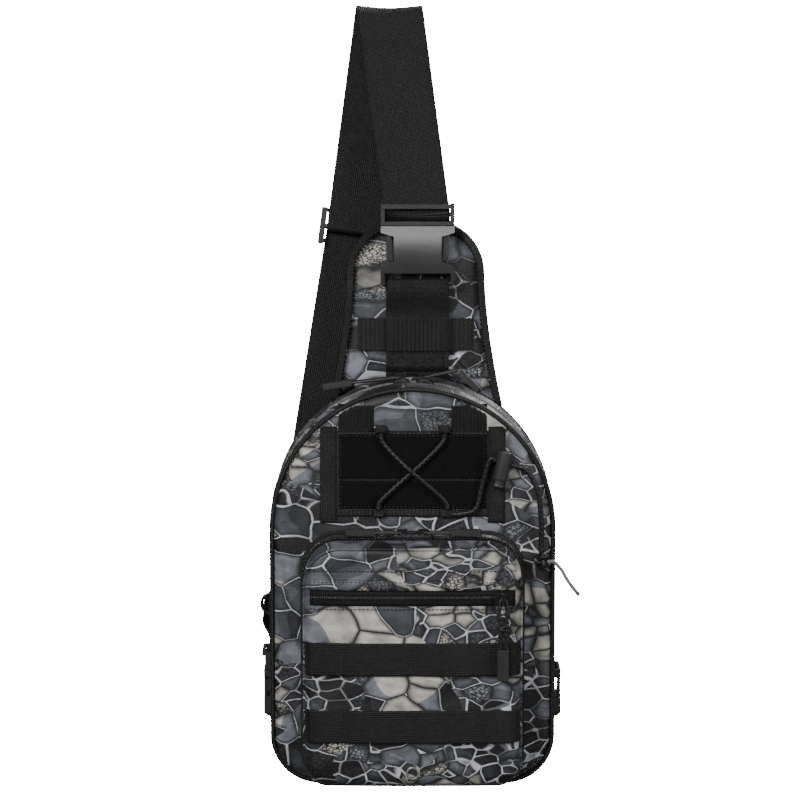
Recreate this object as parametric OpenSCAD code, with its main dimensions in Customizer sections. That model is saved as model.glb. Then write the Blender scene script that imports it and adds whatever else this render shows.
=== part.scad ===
// Sling bag with a front pocket, a padded yoke and one adjustable shoulder strap.
// Millimetres, +Z up, the front faces -Y. The bag hangs from its strap: the modules use a working
// frame with the base at z = 0, the centre at x = 0 and the back panel's face at y = 0, and every
// node is moved so that the origin is the inside of the strap's top fold.

/* [Bag body] */
// Width of the bag across its sides
body_w = 214; // [180:1:280]
// Height of the bag from its base to the top of its arch
body_h = 304; // [250:1:380]
// Depth from the back panel's face to the main zip
rear_depth = 43; // [32:1:70]
// Depth from the main zip to the front panel's face
front_depth = 42; // [32:1:70]
// Radius of the bag's bottom corners
base_corner_r = 36; // [20:1:60]
// Thickness of the foam back panel
back_t = 6; // [3:0.5:12]
// Thickness of the mesh padding on the back
padding_t = 5; // [2:0.5:8]
// Border left round the mesh padding
padding_border = 16; // [8:1:30]
// Thickness of the fabric walls
wall_t = 2.5; // [1.5:0.5:5]
// Thickness of the front panels
panel_t = 3; // [2:0.5:6]
// Height at which the main zip ends on each side
zip_end_z = 128; // [80:1:160]
// Width of one zip tape
tape_w = 5; // [3:0.5:9]
// Thickness of the piping that stands out from a seam
piping_t = 1.6; // [0.8:0.2:3]
// Width of the piping along the gusset
piping_w = 4; // [2:0.5:8]

/* [Front pocket] */
// Width of the front pocket
pocket_w = 164; // [130:1:176]
// Height of the pocket's bottom edge above the base
pocket_z0 = 6; // [4:1:20]
// Height of the pocket's face
pocket_h = 187; // [160:1:200]
// Depth of the pocket's rear half, behind its zip
pocket_rear_d = 20; // [12:1:34]
// Depth of the pocket's front half, ahead of its zip
pocket_front_d = 22; // [12:1:34]
// Radius of the pocket's top corners
pocket_top_r = 27; // [14:1:40]
// Radius of the pocket's bottom corners
pocket_base_r = 18; // [10:1:30]
// Height of the face zip's lower edge above the pocket's bottom edge
face_zip_z = 140; // [128:1:145]
// Height of the face zip's band
face_zip_h = 12; // [8:1:16]
// Height of the hem over the face zip
hem_h = 8; // [4:1:14]
// Width of the drain eyelet's flange
eyelet_d = 11; // [8:0.5:16]
// Bore of the drain eyelet
eyelet_bore = 5.6; // [4:0.2:8]

/* [Webbing] */
// Width of the shoulder strap
strap_w = 50; // [38:1:60]
// Thickness of the strap's webbing
strap_t = 1.5; // [1:0.1:2.2]
// Width of the narrow webbing
web_w = 25; // [20:1:28]
// Thickness of the narrow webbing
web_t = 1.6; // [1:0.1:2.2]
// Height of the lower webbing row above the pocket's bottom edge
row_low_z = 35; // [20:1:40]
// Height of the upper webbing row above the pocket's bottom edge
row_high_z = 87; // [74:1:92]
// Width of a bar tack
tack_w = 6; // [3:1:10]
// Sideways spacing of the bar tacks on the front rows
tack_pitch = 52; // [40:1:60]

/* [Yoke] */
// Half width of the yoke near its top
yoke_half_top = 48.5; // [44:0.5:60]
// Extra half width of the yoke where it meets the bag
yoke_flare = 16; // [6:1:24]
// Height of the yoke's top edge above the bag's arch
yoke_rise = 118; // [110:1:150]
// Radius of the yoke's top corners
yoke_corner_r = 36; // [15:1:36]
// Thickness of the yoke
yoke_t = 11; // [6:1:16]
// Width of the yoke's binding
binding_w = 5; // [3:0.5:8]

/* [Buckles] */
// Length of the large buckle's receptacle
big_len = 47; // [40:1:60]
// Thickness of the large buckle
big_t = 13; // [11:0.5:17]
// Depth of the large buckle's side notches
big_notch = 10; // [6:0.5:12]
// Length of the small buckle's receptacle
small_len = 36; // [32:1:44]
// Thickness of the small buckle
small_t = 8.4; // [7.6:0.2:10]
// Depth of the small buckle's side notches
small_notch = 5; // [3:0.5:6]
// Wall of both buckles
buckle_wall = 2; // [1.4:0.1:2.6]
// Clearance of a buckle's plug in its receptacle
buckle_fit = 0.4; // [0.3:0.1:0.8]

/* [Strap route] */
// Height of the strap's fold axis above the bag's arch
fold_rise = 271; // [240:1:320]
// Distance behind the bag's back plane at which the strap hangs
back_gap = 9.4; // [9:0.2:16]
// Lean of the strap's two runs from the vertical
strap_lean = 7.6; // [4:0.2:10]
// Gap between the strap's two layers
layer_gap = 0.6; // [0.4:0.1:1.2]
// Gap between the large buckle and the yoke
buckle_lift = 1.5; // [1:0.5:4]
// Sideways place of the large buckle
buckle_x = 4; // [-4:1:8]

/* [Cord lock and D-ring] */
// Diameter of the elastic cord
cord_d = 4; // [3:0.2:5]
// Diameter of the thin cord
thin_d = 2.4; // [1.6:0.2:3]
// Diameter of the cord lock's barrel
lock_d = 11.5; // [9:0.5:14]
// Length of the cord lock's barrel
lock_len = 22; // [16:1:28]
// Travel of the cord lock's plunger
plunger_travel = 3.5; // [2:0.5:5]
// Wire of the D-ring
ring_wire = 2.6; // [2:0.2:4]
// Inner radius of the D-ring
ring_r = 6.8; // [6:0.2:12]

/* [Hidden] */

WEB = "#252523";
PLASTIC = "#3a3a3b";
CAMO = "#4b4e55";
eps = 0.01;
part_gap = 0.3;
arc_steps = 40;

arch_r = body_w / 2;
arch_z = body_h - arch_r;
front_y = -(rear_depth + front_depth);
pocket_zip_y = front_y - pocket_rear_d;
face_y = pocket_zip_y - pocket_front_d;
pocket_z1 = pocket_z0 + pocket_h;

front_run_y = yoke_t + buckle_lift + big_t / 2;
layer_off = (strap_t + layer_gap) / 2;
fold_r = (front_run_y + back_gap) / 2;
fold_z = body_h + fold_rise;
fold_y = fold_r - front_run_y;
back_run_y = fold_y + fold_r;
mouth_z = body_h + yoke_rise + 2;
loop_bar_d = 4;
loop_r = loop_bar_d / 2 + part_gap + strap_t / 2;
plug_bar_z = 8.5;
fold_front_x = buckle_x - (fold_z - mouth_z - plug_bar_z) * tan(strap_lean);
fold_back_x = fold_front_x - PI * fold_r * tan(strap_lean);
hang = [(fold_front_x + fold_back_x) / 2, fold_y, fold_z + fold_r - layer_off - strap_t / 2];

slider_z = mouth_z - 6;
slider_half = 14;
slider_travel = 60;
slider_x = fold_back_x - (fold_z - slider_z) * tan(strap_lean);

// ---- Shared shapes -------------------------------------------------------------------------

module in_hang_frame() { translate(-hang) children(); }

// Extrudes an outline drawn in x and z from y_back towards the front.
module slab(y_back, depth) {
    translate([0, y_back, 0]) rotate([90, 0, 0]) linear_extrude(depth) children();
}

function arc(cx, cz, r, a0, a1, n) =
    [for (i = [0:n]) let (a = a0 + (a1 - a0) * i / n) [cx + r * cos(a), cz + r * sin(a)]];

// The bag's outline, moved inwards by inset.
function bag_outline(inset) = concat(
    arc(0, arch_z, arch_r - inset, 0, 180, arc_steps),
    arc(-arch_r + base_corner_r, base_corner_r, base_corner_r - inset, 180, 270, 12),
    arc(arch_r - base_corner_r, base_corner_r, base_corner_r - inset, 270, 360, 12));

// The pocket's outline, moved inwards by inset.
function pocket_outline(inset) = let (x = pocket_w / 2) concat(
    arc(x - pocket_top_r, pocket_z1 - pocket_top_r, pocket_top_r - inset, 0, 90, 10),
    arc(-x + pocket_top_r, pocket_z1 - pocket_top_r, pocket_top_r - inset, 90, 180, 10),
    arc(-x + pocket_base_r, pocket_z0 + pocket_base_r, pocket_base_r - inset, 180, 270, 10),
    arc(x - pocket_base_r, pocket_z0 + pocket_base_r, pocket_base_r - inset, 270, 360, 10));

module bag_ring(outset, inset) {
    difference() { polygon(bag_outline(-outset)); polygon(bag_outline(inset)); }
}

module pocket_ring(outset, inset) {
    difference() { polygon(pocket_outline(-outset)); polygon(pocket_outline(inset)); }
}

function unit(v) = v / norm(v);
function tangent(p, i) = unit(p[min(i + 1, len(p) - 1)] - p[max(i - 1, 0)]);

// Closed strip through rings of equal length, with flat caps.
module skin(rings) {
    n = len(rings[0]);
    m = len(rings);
    points = [for (ring = rings) each ring];
    sides = [for (i = [0:m - 2], j = [0:n - 1]) let (a = i * n + j, b = i * n + (j + 1) % n)
        each [[a, b, b + n], [a, b + n, a + n]]];
    caps = [[for (j = [n - 1:-1:0]) j], [for (j = [0:n - 1]) (m - 1) * n + j]];
    polyhedron(points, concat(sides, caps), convexity = 8);
}

// Webbing along path; across gives its width direction at each point.
module ribbon(path, across, width, thick) {
    skin([for (i = [0:len(path) - 1])
        let (a = unit(across[i]), n = unit(cross(tangent(path, i), a)))
        [path[i] + a * width / 2 + n * thick / 2, path[i] - a * width / 2 + n * thick / 2,
         path[i] - a * width / 2 - n * thick / 2, path[i] + a * width / 2 - n * thick / 2]]);
}

// Catmull-Rom point between p[i] and p[i + 1].
function smooth_point(p, i, t) = let (
    a = p[max(i - 1, 0)], b = p[i], c = p[i + 1], d = p[min(i + 2, len(p) - 1)])
    0.5 * (2 * b + (c - a) * t + (2 * a - 5 * b + 4 * c - d) * t * t
    + (3 * b - a - 3 * c + d) * t * t * t);
function smooth_path(p, steps) = concat(
    [for (i = [0:len(p) - 2], s = [0:steps - 1]) smooth_point(p, i, s / steps)],
    [p[len(p) - 1]]);

// Round cord along path, its rings square to a fixed side direction.
module tube(path, d, sides, side_dir) {
    skin([for (i = [0:len(path) - 1])
        let (t = tangent(path, i), u = unit(cross(side_dir, t)), v = cross(t, u))
        [for (k = [0:sides - 1]) let (a = 360 * k / sides)
            path[i] + (u * cos(a) + v * sin(a)) * d / 2]]);
}

module box(lo, hi) { translate(lo) cube(hi - lo); }

// ---- Bag, rear half ------------------------------------------------------------------------

module back_panel() { color(CAMO) in_hang_frame() slab(0, back_t) polygon(bag_outline(0)); }

module back_padding() {
    color(WEB) in_hang_frame() slab(padding_t, padding_t) polygon(bag_outline(padding_border));
}

module rear_gusset() {
    color(CAMO) in_hang_frame() {
        slab(-back_t, rear_depth - tape_w - back_t) bag_ring(0, wall_t);
        slab(-rear_depth + tape_w, tape_w - part_gap) below_zip() bag_ring(0, wall_t);
    }
}

module below_zip() {
    intersection() {
        children();
        translate([-body_w, -body_w]) square([2 * body_w, body_w + zip_end_z]);
    }
}

module above_zip() {
    intersection() {
        children();
        translate([-body_w, zip_end_z]) square([2 * body_w, body_h]);
    }
}

module rear_zip_tape() {
    color("black") in_hang_frame()
        slab(-rear_depth + tape_w, tape_w - part_gap) above_zip() bag_ring(0, wall_t);
}

module rear_piping() {
    color("black") in_hang_frame() slab(-eps, piping_w) difference() {
        bag_ring(piping_t, 0);
        polygon(yoke_outline(binding_w + part_gap));
    }
}

// ---- Yoke ----------------------------------------------------------------------------------

yoke_x = 2.7;
yoke_z0 = arch_z + arch_r * 0.72;
yoke_z1 = body_h + yoke_rise;
yoke_knee_z = yoke_z1 - yoke_corner_r;
yoke_power = 1.6;

function yoke_side(o, s) = [for (i = [0:10]) let (z = yoke_z0 + (yoke_knee_z - yoke_z0) * i / 10)
    [yoke_x + s * (o + yoke_half_top + yoke_flare
        * pow((yoke_knee_z - z) / (yoke_knee_z - yoke_z0), yoke_power)), z]];
function reverse(v) = [for (i = [len(v) - 1:-1:0]) v[i]];
function yoke_outline(o) = concat(
    yoke_side(o, 1),
    arc(yoke_x + yoke_half_top - yoke_corner_r, yoke_knee_z, yoke_corner_r + o, 9, 90, 9),
    arc(yoke_x - yoke_half_top + yoke_corner_r, yoke_knee_z, yoke_corner_r + o, 90, 171, 9),
    reverse(yoke_side(o, -1)));

module shoulder_yoke() {
    color(CAMO) in_hang_frame() slab(0, yoke_t) difference() {
        polygon(yoke_outline(0));
        polygon(bag_outline(0));
    }
}

module yoke_binding() {
    color("black") in_hang_frame() slab(0.8, yoke_t + 1.6) difference() {
        polygon(yoke_outline(binding_w));
        polygon(yoke_outline(0));
        polygon(bag_outline(-piping_t - part_gap));
    }
}

web_seam_z = body_h - 2;
big_bar_z = mouth_z - big_len + loop_bar_d / 2;

// Sewn to the yoke, round the receptacle's bar and back down over itself.
module yoke_center_webbing() {
    y0 = -yoke_t - strap_t / 2;
    path = concat(
        [[buckle_x, y0, web_seam_z + 8], [buckle_x, y0, big_bar_z - 24],
         [buckle_x, y0 - 0.4, big_bar_z - 16]],
        [for (a = [0:30:180]) [buckle_x, -front_run_y + loop_r * cos(a), big_bar_z + loop_r * sin(a)]],
        [[buckle_x, y0 - strap_t - part_gap - 1.2, big_bar_z - 16],
         [buckle_x, y0 - strap_t - part_gap, big_bar_z - 24]]);
    color(WEB) in_hang_frame()
        ribbon(path, [for (p = path) [1, 0, 0]], strap_w - 1, strap_t);
}

cross_z = body_h + 22;
cross_half = 45;

module yoke_cross_webbing() {
    y0 = -yoke_t - 2 * strap_t - part_gap - 0.2;
    color(WEB) in_hang_frame() {
        box([yoke_x - cross_half, y0 - web_t, cross_z], [yoke_x + cross_half, y0, cross_z + web_w]);
        for (s = [-1, 1]) translate([yoke_x + s * (cross_half - tack_w / 2), 0, 0])
            box([-tack_w / 2, y0 - eps, cross_z], [tack_w / 2, -yoke_t, cross_z + web_w]);
    }
}

// ---- Side-release buckles: the mouth is at the origin and the receptacle lies below it ------

function buckle_half(w) = w / 2 + 3.5;
bar_drop = 2;
guide_half = 3;
prong_gap = 0.5;

module receptacle(w, length, t, notch) {
    h = buckle_half(w);
    bar_d = 2 * bar_drop;
    slot_h = 6.5;
    difference() {
        slab(t / 2, t) polygon([[-h, 0], [h, 0], [h, -5], [h - notch, -8],
            [h - notch, -length * 0.58], [h, -length * 0.66], [h, -length + 2], [h - 2, -length],
            [-h + 2, -length], [-h, -length + 2], [-h, -length * 0.66],
            [-h + notch, -length * 0.58], [-h + notch, -8], [-h, -5]]);
        box([-w / 2, -t / 2 + buckle_wall, -length + bar_d + slot_h + 3],
            [w / 2, t / 2 - buckle_wall, 1]);
        box([-w / 2 - 0.6, -t, -length - 1], [w / 2 + 0.6, t, -length + bar_d + slot_h]);
    }
    translate([-w / 2 - 1, 0, -length + bar_drop]) rotate([0, 90, 0])
        cylinder(d = bar_d, h = w + 2, $fn = 32);
}

module plug(w, t, length, top) {
    h = buckle_half(w);
    rail = 3;
    difference() {
        box([-h, -t / 2 + 1, prong_gap], [h, t / 2 - 1, top]);
        box([-h + rail, -t, 3.4], [h - rail, t, top + 1]);
    }
    translate([-h + 1, 0, plug_bar_z]) rotate([0, 90, 0])
        cylinder(d = loop_bar_d, h = 2 * h - 2, $fn = 32);
    box([-h + 1, -t / 2 - 1.4, top - 3.5], [h - 1, -t / 2 + 1 + eps, top]);
    box([-guide_half, -t / 2 + buckle_wall + buckle_fit, -length + 16],
        [guide_half, t / 2 - buckle_wall - buckle_fit, prong_gap + eps]);
}

big_plug_top = 17;
small_plug_top = 14.5;
prong_t = 4.6;
flex_gap = 0.4;

// One springy arm with its ear, right-hand side; gap is its distance below the plug's base.
module prong(w, t, length, gap) {
    x1 = w / 2 - buckle_fit - 0.4;
    y = t / 2 - buckle_wall - buckle_fit;
    top = prong_gap - gap;
    slab(y, 2 * y) polygon([[x1 - prong_t, top], [x1 - 1, top],
        [x1 - 1.6, -7], [x1, -9], [x1, -length * 0.5], [x1 - 3, -length * 0.5 - 4],
        [x1 - prong_t - 1, -length * 0.5 - 4], [x1 - prong_t, -8]]);
}

module at_big_mouth() { translate([buckle_x, -front_run_y, mouth_z]) children(); }

module big_receptacle() {
    color(PLASTIC) in_hang_frame() at_big_mouth()
        receptacle(strap_w, big_len, big_t, big_notch);
}

module big_plug() {
    color(PLASTIC) in_hang_frame() at_big_mouth() plug(strap_w, big_t, big_len, big_plug_top);
}

side_mouth_z = base_corner_r + small_len + 5;
side_x = arch_r + small_t / 2 + 0.9;
side_y = -21.5;

// The small buckles stand on the bag's sides, their width along Y.
module at_side_mouth(s) {
    translate([s * side_x, side_y, side_mouth_z]) rotate([0, 0, s * 90]) children();
}

module left_receptacle() {
    color(PLASTIC) in_hang_frame() at_side_mouth(-1)
        receptacle(web_w, small_len, small_t, small_notch);
}

module right_receptacle() {
    color(PLASTIC) in_hang_frame() at_side_mouth(1)
        receptacle(web_w, small_len, small_t, small_notch);
}

module small_plug() {
    color(PLASTIC) in_hang_frame() at_side_mouth(-1) {
        plug(web_w, small_t, small_len, small_plug_top);
        for (s = [0, 1]) mirror([s, 0, 0]) prong(web_w, small_t, small_len, -0.5);
    }
}

module plug_prongs_left() {
    color(PLASTIC) in_hang_frame() at_big_mouth() mirror([1, 0, 0]) prong(strap_w, big_t, big_len, flex_gap);
}

module plug_prongs_right() {
    color(PLASTIC) in_hang_frame() at_big_mouth() prong(strap_w, big_t, big_len, flex_gap);
}

// Webbing eye round a small receptacle's bar, with a tongue sewn to the bag's side.
module side_tab(s) {
    z = side_mouth_z - small_len + bar_drop;
    eye_r = bar_drop + part_gap + web_t;
    in_hang_frame() difference() {
        union() {
            translate([s * side_x, side_y - web_w / 2, z]) rotate([-90, 0, 0])
                cylinder(r = eye_r, h = web_w, $fn = 48);
            translate([s * (arch_r + web_t / 2), side_y, z - 14])
                cube([web_t, web_w, 28], center = true);
            translate([s * (arch_r + side_x) / 2, side_y, z - 4])
                cube([side_x - arch_r, web_w, web_t], center = true);
        }
        translate([s * side_x, side_y - web_w, z]) rotate([-90, 0, 0])
            cylinder(r = bar_drop + part_gap, h = 2 * web_w, $fn = 48);
    }
}

module left_tab() { color(WEB) side_tab(-1); }
module right_tab() { color(WEB) side_tab(1); }

side_strip_z = 84;
side_strip_h = 34;

module side_webbing() {
    color(WEB) in_hang_frame()
        box([arch_r, -rear_depth - 34, side_strip_z],
            [arch_r + web_t, -rear_depth - 6, side_strip_z + side_strip_h]);
}

// ---- D-ring --------------------------------------------------------------------------------

ring_z = side_mouth_z + 52.5;
ring_y = -36;
ring_tab_t = 1;
ring_tab_reach = 5;
ring_x = -arch_r - ring_wire / 2 - part_gap - ring_tab_t;

module d_ring_tab() {
    bore_r = ring_wire / 2 + part_gap;
    eye_r = bore_r + ring_tab_t;
    half = ring_r - 1;
    color(WEB) in_hang_frame() difference() {
        union() {
            translate([ring_x, ring_y, ring_z - half]) cylinder(r = eye_r, h = 2 * half, $fn = 48);
            box([-arch_r - ring_tab_t, ring_y, ring_z - half],
                [-arch_r, ring_y + ring_tab_reach, ring_z + half]);
        }
        translate([ring_x, ring_y, ring_z - 2 * ring_r])
            cylinder(r = bore_r, h = 4 * ring_r, $fn = 48);
    }
}

module d_ring() {
    wire_r = ring_r + ring_wire / 2;
    color("#1c1c1d") in_hang_frame() translate([ring_x, ring_y, ring_z]) {
        translate([0, 0, -wire_r]) cylinder(d = ring_wire, h = 2 * wire_r, $fn = 32);
        rotate([90, 0, 0]) rotate([0, 0, 90]) rotate_extrude(angle = 180, $fn = 64)
            translate([wire_r, 0]) circle(d = ring_wire, $fn = 32);
    }
}

// ---- Bag, front half -----------------------------------------------------------------------

module front_panel() {
    color(CAMO) in_hang_frame() slab(front_y + panel_t, panel_t) polygon(bag_outline(0));
}

module front_gusset() {
    color(CAMO) in_hang_frame() {
        slab(-rear_depth - tape_w, front_depth - tape_w - panel_t) bag_ring(0, wall_t);
        slab(-rear_depth - part_gap, tape_w - part_gap) below_zip() bag_ring(0, wall_t);
    }
}

module front_zip_tape() {
    color("black") in_hang_frame()
        slab(-rear_depth - part_gap, tape_w - part_gap) above_zip() bag_ring(0, wall_t);
}

module front_piping() {
    color("black") in_hang_frame() slab(front_y + piping_w, piping_w) bag_ring(piping_t, 0);
}

field_z0 = pocket_z1 + 20;
field_z1 = body_h - 32.3;
field_t = 2;
field_cut = 7;
strip_half = 7;
strip_x = 64;
strip_z0 = pocket_z1 + 9;
strip_z1 = body_h - 28;

module on_front(t) { slab(front_y, t) children(); }

module loop_field() {
    x = strip_x - strip_half - part_gap;
    color("#0f0f0e") in_hang_frame() on_front(field_t) polygon([[-x, field_z0 + field_cut],
        [-x + field_cut, field_z0], [x - field_cut, field_z0], [x, field_z0 + field_cut],
        [x, field_z1 - field_cut], [x - field_cut, field_z1], [-x + field_cut, field_z1],
        [-x, field_z1 - field_cut]]);
}

module panel_strips() {
    color(WEB) in_hang_frame() for (s = [-1, 1]) on_front(web_t)
        translate([s * strip_x - strip_half, strip_z0]) square([2 * strip_half, strip_z1 - strip_z0]);
}

ribbed_z = body_h - 32;
ribbed_h = 15;
ribbed_x0 = 29;

module ribbed_webbing() {
    x1 = strip_x - strip_half - part_gap;
    color(WEB) in_hang_frame() for (s = [-1, 1]) on_front(web_t)
        translate([s * (ribbed_x0 + x1) / 2 - (x1 - ribbed_x0) / 2, ribbed_z])
            square([x1 - ribbed_x0, ribbed_h]);
}

anchor = [9, 6, 6];
end_gap = 0.25;
anchor_x_top = 24;
anchor_z_top = body_h - 29;
anchor_x_low = 26;
anchor_z_low = pocket_z1 + 17;
cord_y = front_y - field_t - part_gap - cord_d / 2;

module cord_anchors() {
    color("black") in_hang_frame()
        for (p = [[-anchor_x_top, anchor_z_top], [anchor_x_top, anchor_z_top],
                  [-anchor_x_low, anchor_z_low], [anchor_x_low, anchor_z_low]])
            box([p[0] - anchor[0] / 2, front_y - anchor[1], p[1] - anchor[2] / 2],
                [p[0] + anchor[0] / 2, front_y, p[1] + anchor[2] / 2]);
}

// One leg of the crossed lacing; lift is how far it stands out where the two legs cross.
module lacing_leg(s, lift) {
    z1 = anchor_z_top - anchor[2] / 2 - end_gap;
    z0 = anchor_z_low + anchor[2] / 2 + end_gap;
    path = smooth_path([[-s * anchor_x_top, cord_y, z1], [-s * anchor_x_top, cord_y, z1 - 3],
        [-s * anchor_x_top, cord_y, z1 - 7], [-s * anchor_x_top * 0.35, cord_y - lift * 0.7, z1 - 24],
        [0, cord_y - lift, (z0 + z1) / 2], [s * anchor_x_low * 0.35, cord_y - lift * 0.7, z0 + 23],
        [s * anchor_x_low, cord_y, z0 + 7], [s * anchor_x_low, cord_y, z0 + 3],
        [s * anchor_x_low, cord_y, z0]], 2);
    tube(path, cord_d, 8, [0, 1, 0]);
}

lock_axis_lean = 13.5;
lock_foot = [66, front_y - web_t - part_gap - lock_d / 2, pocket_z1 + 44];

module at_lock() { translate(lock_foot) rotate([0, lock_axis_lean, 0]) children(); }

// The lock's frame: exit point of a cord on the barrel's side s, at height h along its axis.
function lock_side(s, h) = lock_foot
    + [sin(lock_axis_lean), 0, cos(lock_axis_lean)] * h
    + [cos(lock_axis_lean), 0, -sin(lock_axis_lean)] * s * lock_d / 2;
cord_hole_h = 13;
lock_out = [cos(lock_axis_lean), 0, -sin(lock_axis_lean)];

module elastic_cord_a() {
    color("black") in_hang_frame() lacing_leg(1, cord_d + part_gap);
}

// The second leg, and its lead along the panel to the cord lock.
module elastic_cord_b() {
    entry = lock_side(-1, cord_hole_h);
    lead = smooth_path([[anchor_x_low + anchor[0] / 2 + end_gap, cord_y - 0.3, anchor_z_low],
        [36, cord_y - 0.3, anchor_z_low], [48, cord_y - 0.6, anchor_z_low + 4],
        [52, cord_y - 1.5, anchor_z_low + 19],
        entry - lock_out * 5, entry - lock_out * 2 * end_gap], 2);
    color("black") in_hang_frame() {
        lacing_leg(-1, 0);
        tube(lead, cord_d, 8, [0, 1, 0]);
    }
}

plunger_d = 8;

module cord_lock_barrel() {
    color(PLASTIC) in_hang_frame() at_lock() difference() {
        cylinder(d = lock_d, h = lock_len, $fn = 48);
        translate([0, 0, -1]) cylinder(d = plunger_d + 2 * part_gap, h = 10, $fn = 48);
    }
}

module cord_lock_plunger() {
    color(PLASTIC) in_hang_frame() at_lock()
        translate([0, 0, -plunger_travel - 2]) {
            cylinder(d = plunger_d, h = plunger_travel + 6, $fn = 48);
            cylinder(d = lock_d - 1.5, h = 1.6, $fn = 48);
        }
}

// The free end of the elastic cord: out of the lock, over the bag's shoulder to its knot.
shoulder = [arch_r, front_y, pocket_z1];
free_cord_route = [for (p = [[-20, -9, 51], [-12, -9, 35], [-9, -8, 12], [-9, -7, -4]]) shoulder + p];
knot_center = shoulder + [-9, -7, -19];
knot_r = 5.5;
thin_route = [for (p = [[1, -7, -20], [6, -8, -25], [12, -9, -35], [20, -10, -45]]) shoulder + p];

module free_cord() {
    start = lock_side(1, cord_hole_h);
    path = smooth_path(concat([start + lock_out * end_gap, start + lock_out * 6], free_cord_route,
        [knot_center + [0, 0, knot_r + 4], knot_center + [0, 0, knot_r + end_gap]]), 2);
    color("black") in_hang_frame() tube(path, cord_d, 8, [0, 1, 0]);
}

module cord_knot() {
    color("black") in_hang_frame() translate(knot_center) difference() {
        sphere(r = knot_r + 0.5, $fn = 32);
        for (s = [-1, 1]) translate([0, 0, s * (knot_r + 10)]) cube(20, center = true);
        translate([knot_r + 10, 0, 0]) cube(20, center = true);
    }
}

module thin_tail() {
    path = smooth_path(concat([knot_center + [knot_r + end_gap, 0, 0]], thin_route), 2);
    color("#6a6b6e") in_hang_frame() tube(path, thin_d, 8, [0, 1, 0]);
}

// ---- Front pocket --------------------------------------------------------------------------

module pocket_rear_gusset() {
    color(CAMO) in_hang_frame() slab(front_y, pocket_rear_d - part_gap) pocket_ring(0, wall_t);
}

module pocket_binding() {
    color("black") in_hang_frame() slab(front_y, piping_t) pocket_ring(3, 0);
}

module pocket_front_gusset() {
    color(CAMO) in_hang_frame() slab(pocket_zip_y, pocket_front_d - panel_t) pocket_ring(0, wall_t);
}

module pocket_face() {
    color(CAMO) in_hang_frame() slab(face_y + panel_t, panel_t) difference() {
        polygon(pocket_outline(0));
        translate([0, pocket_z0 + 11]) circle(d = eyelet_bore, $fn = 48);
    }
}

module pocket_piping() {
    color("black") in_hang_frame() slab(face_y + piping_w, piping_w) pocket_ring(piping_t, 0);
}

face_half = pocket_w / 2 - 4;
zip_z = pocket_z0 + face_zip_z;

module pocket_hem() {
    color(CAMO) in_hang_frame() slab(face_y, 1.6)
        translate([-face_half, zip_z + face_zip_h]) square([2 * face_half, hem_h]);
}

module face_zip() {
    color("black") in_hang_frame() slab(face_y, 1)
        translate([-face_half, zip_z]) square([2 * face_half, face_zip_h]);
}

module webbing_row(z) {
    slab(face_y - part_gap, web_t) translate([-pocket_w / 2, z]) square([pocket_w, web_w]);
    for (x = [-pocket_w / 2 + tack_w / 2, -tack_pitch, 0, tack_pitch, pocket_w / 2 - tack_w / 2])
        slab(face_y, part_gap + eps) translate([x - tack_w / 2, z]) square([tack_w, web_w]);
}

module webbing_rows() {
    color(WEB) in_hang_frame() {
        webbing_row(pocket_z0 + row_low_z);
        webbing_row(pocket_z0 + row_high_z);
    }
}

module drain_eyelet() {
    color("silver") in_hang_frame() slab(face_y, 0.8) translate([0, pocket_z0 + 11]) difference() {
        circle(d = eyelet_d, $fn = 48);
        circle(d = eyelet_bore, $fn = 48);
    }
}

// ---- Zip sliders and pulls -----------------------------------------------------------------

slider_len = 12;
slider_w = 10;
slider_t = 3;
bail_h = 5.2;
bail_z = 2.4;

// A slider lying on a zip: its length along X, standing up along Z from the zip's surface.
// The bail's hole runs across the zip, or along it when turned by 90 degrees.
module zip_slider(bail_turn = 0) {
    box([-slider_len / 2, -slider_w / 2, part_gap], [slider_len / 2, slider_w / 2, slider_t]);
    rotate([0, 0, bail_turn]) difference() {
        box([-4, -1.2, slider_t - eps], [4, 1.2, slider_t + bail_h]);
        translate([0, 3, slider_t + bail_z]) rotate([90, 0, 0]) cylinder(d = 3.2, h = 6, $fn = 32);
    }
}

main_slider_angle = 4.6;

module at_arch(s) {
    translate([0, -rear_depth, arch_z]) rotate([0, s * main_slider_angle, 0])
        translate([0, 0, arch_r]) children();
}

module main_slider_left() { color("#2c2c2e") in_hang_frame() at_arch(-1) zip_slider(); }
module main_slider_right() { color("#2c2c2e") in_hang_frame() at_arch(1) zip_slider(); }

pull_d = 2.2;
pull_end = [24, 8.4, 4.4];

// A moulded tip whose long side runs along +X from the origin.
module pull_tip() {
    linear_extrude(pull_end[2], center = true) polygon(concat(
        arc(pull_end[0] - 2, pull_end[1] / 2 - 2, 2, 0, 90, 5), arc(2, pull_end[1] / 2 - 2, 2, 90, 180, 5),
        arc(2, -pull_end[1] / 2 + 2, 2, 180, 270, 5),
        arc(pull_end[0] - 2, -pull_end[1] / 2 + 2, 2, 270, 360, 5)));
}

// A cord through the bail at the origin: its two legs run along +X to the tip at reach.
module cord_pull(reach, tip_drop) {
    half = 2.6;
    translate([half - 0.2, 0, 0]) {
        rotate([0, 0, 90]) rotate_extrude(angle = 180, $fn = 48)
            translate([half, 0]) circle(d = pull_d, $fn = 24);
        for (s = [-1, 1]) translate([0, s * half, 0]) rotate([0, 90, 0])
            cylinder(d = pull_d, h = reach, $fn = 24);
    }
    translate([reach, 0, 0]) rotate([0, tip_drop, 0]) pull_tip();
}

main_reach = 38;
right_reach = 26;
right_lift = 8;
right_tip_drop = 52;

module main_pull_left() {
    color("#1a1a1b") in_hang_frame() at_arch(-1) translate([0, 0, slider_t + bail_z])
        rotate([0, main_slider_angle, 180]) cord_pull(main_reach, 0);
}

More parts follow.
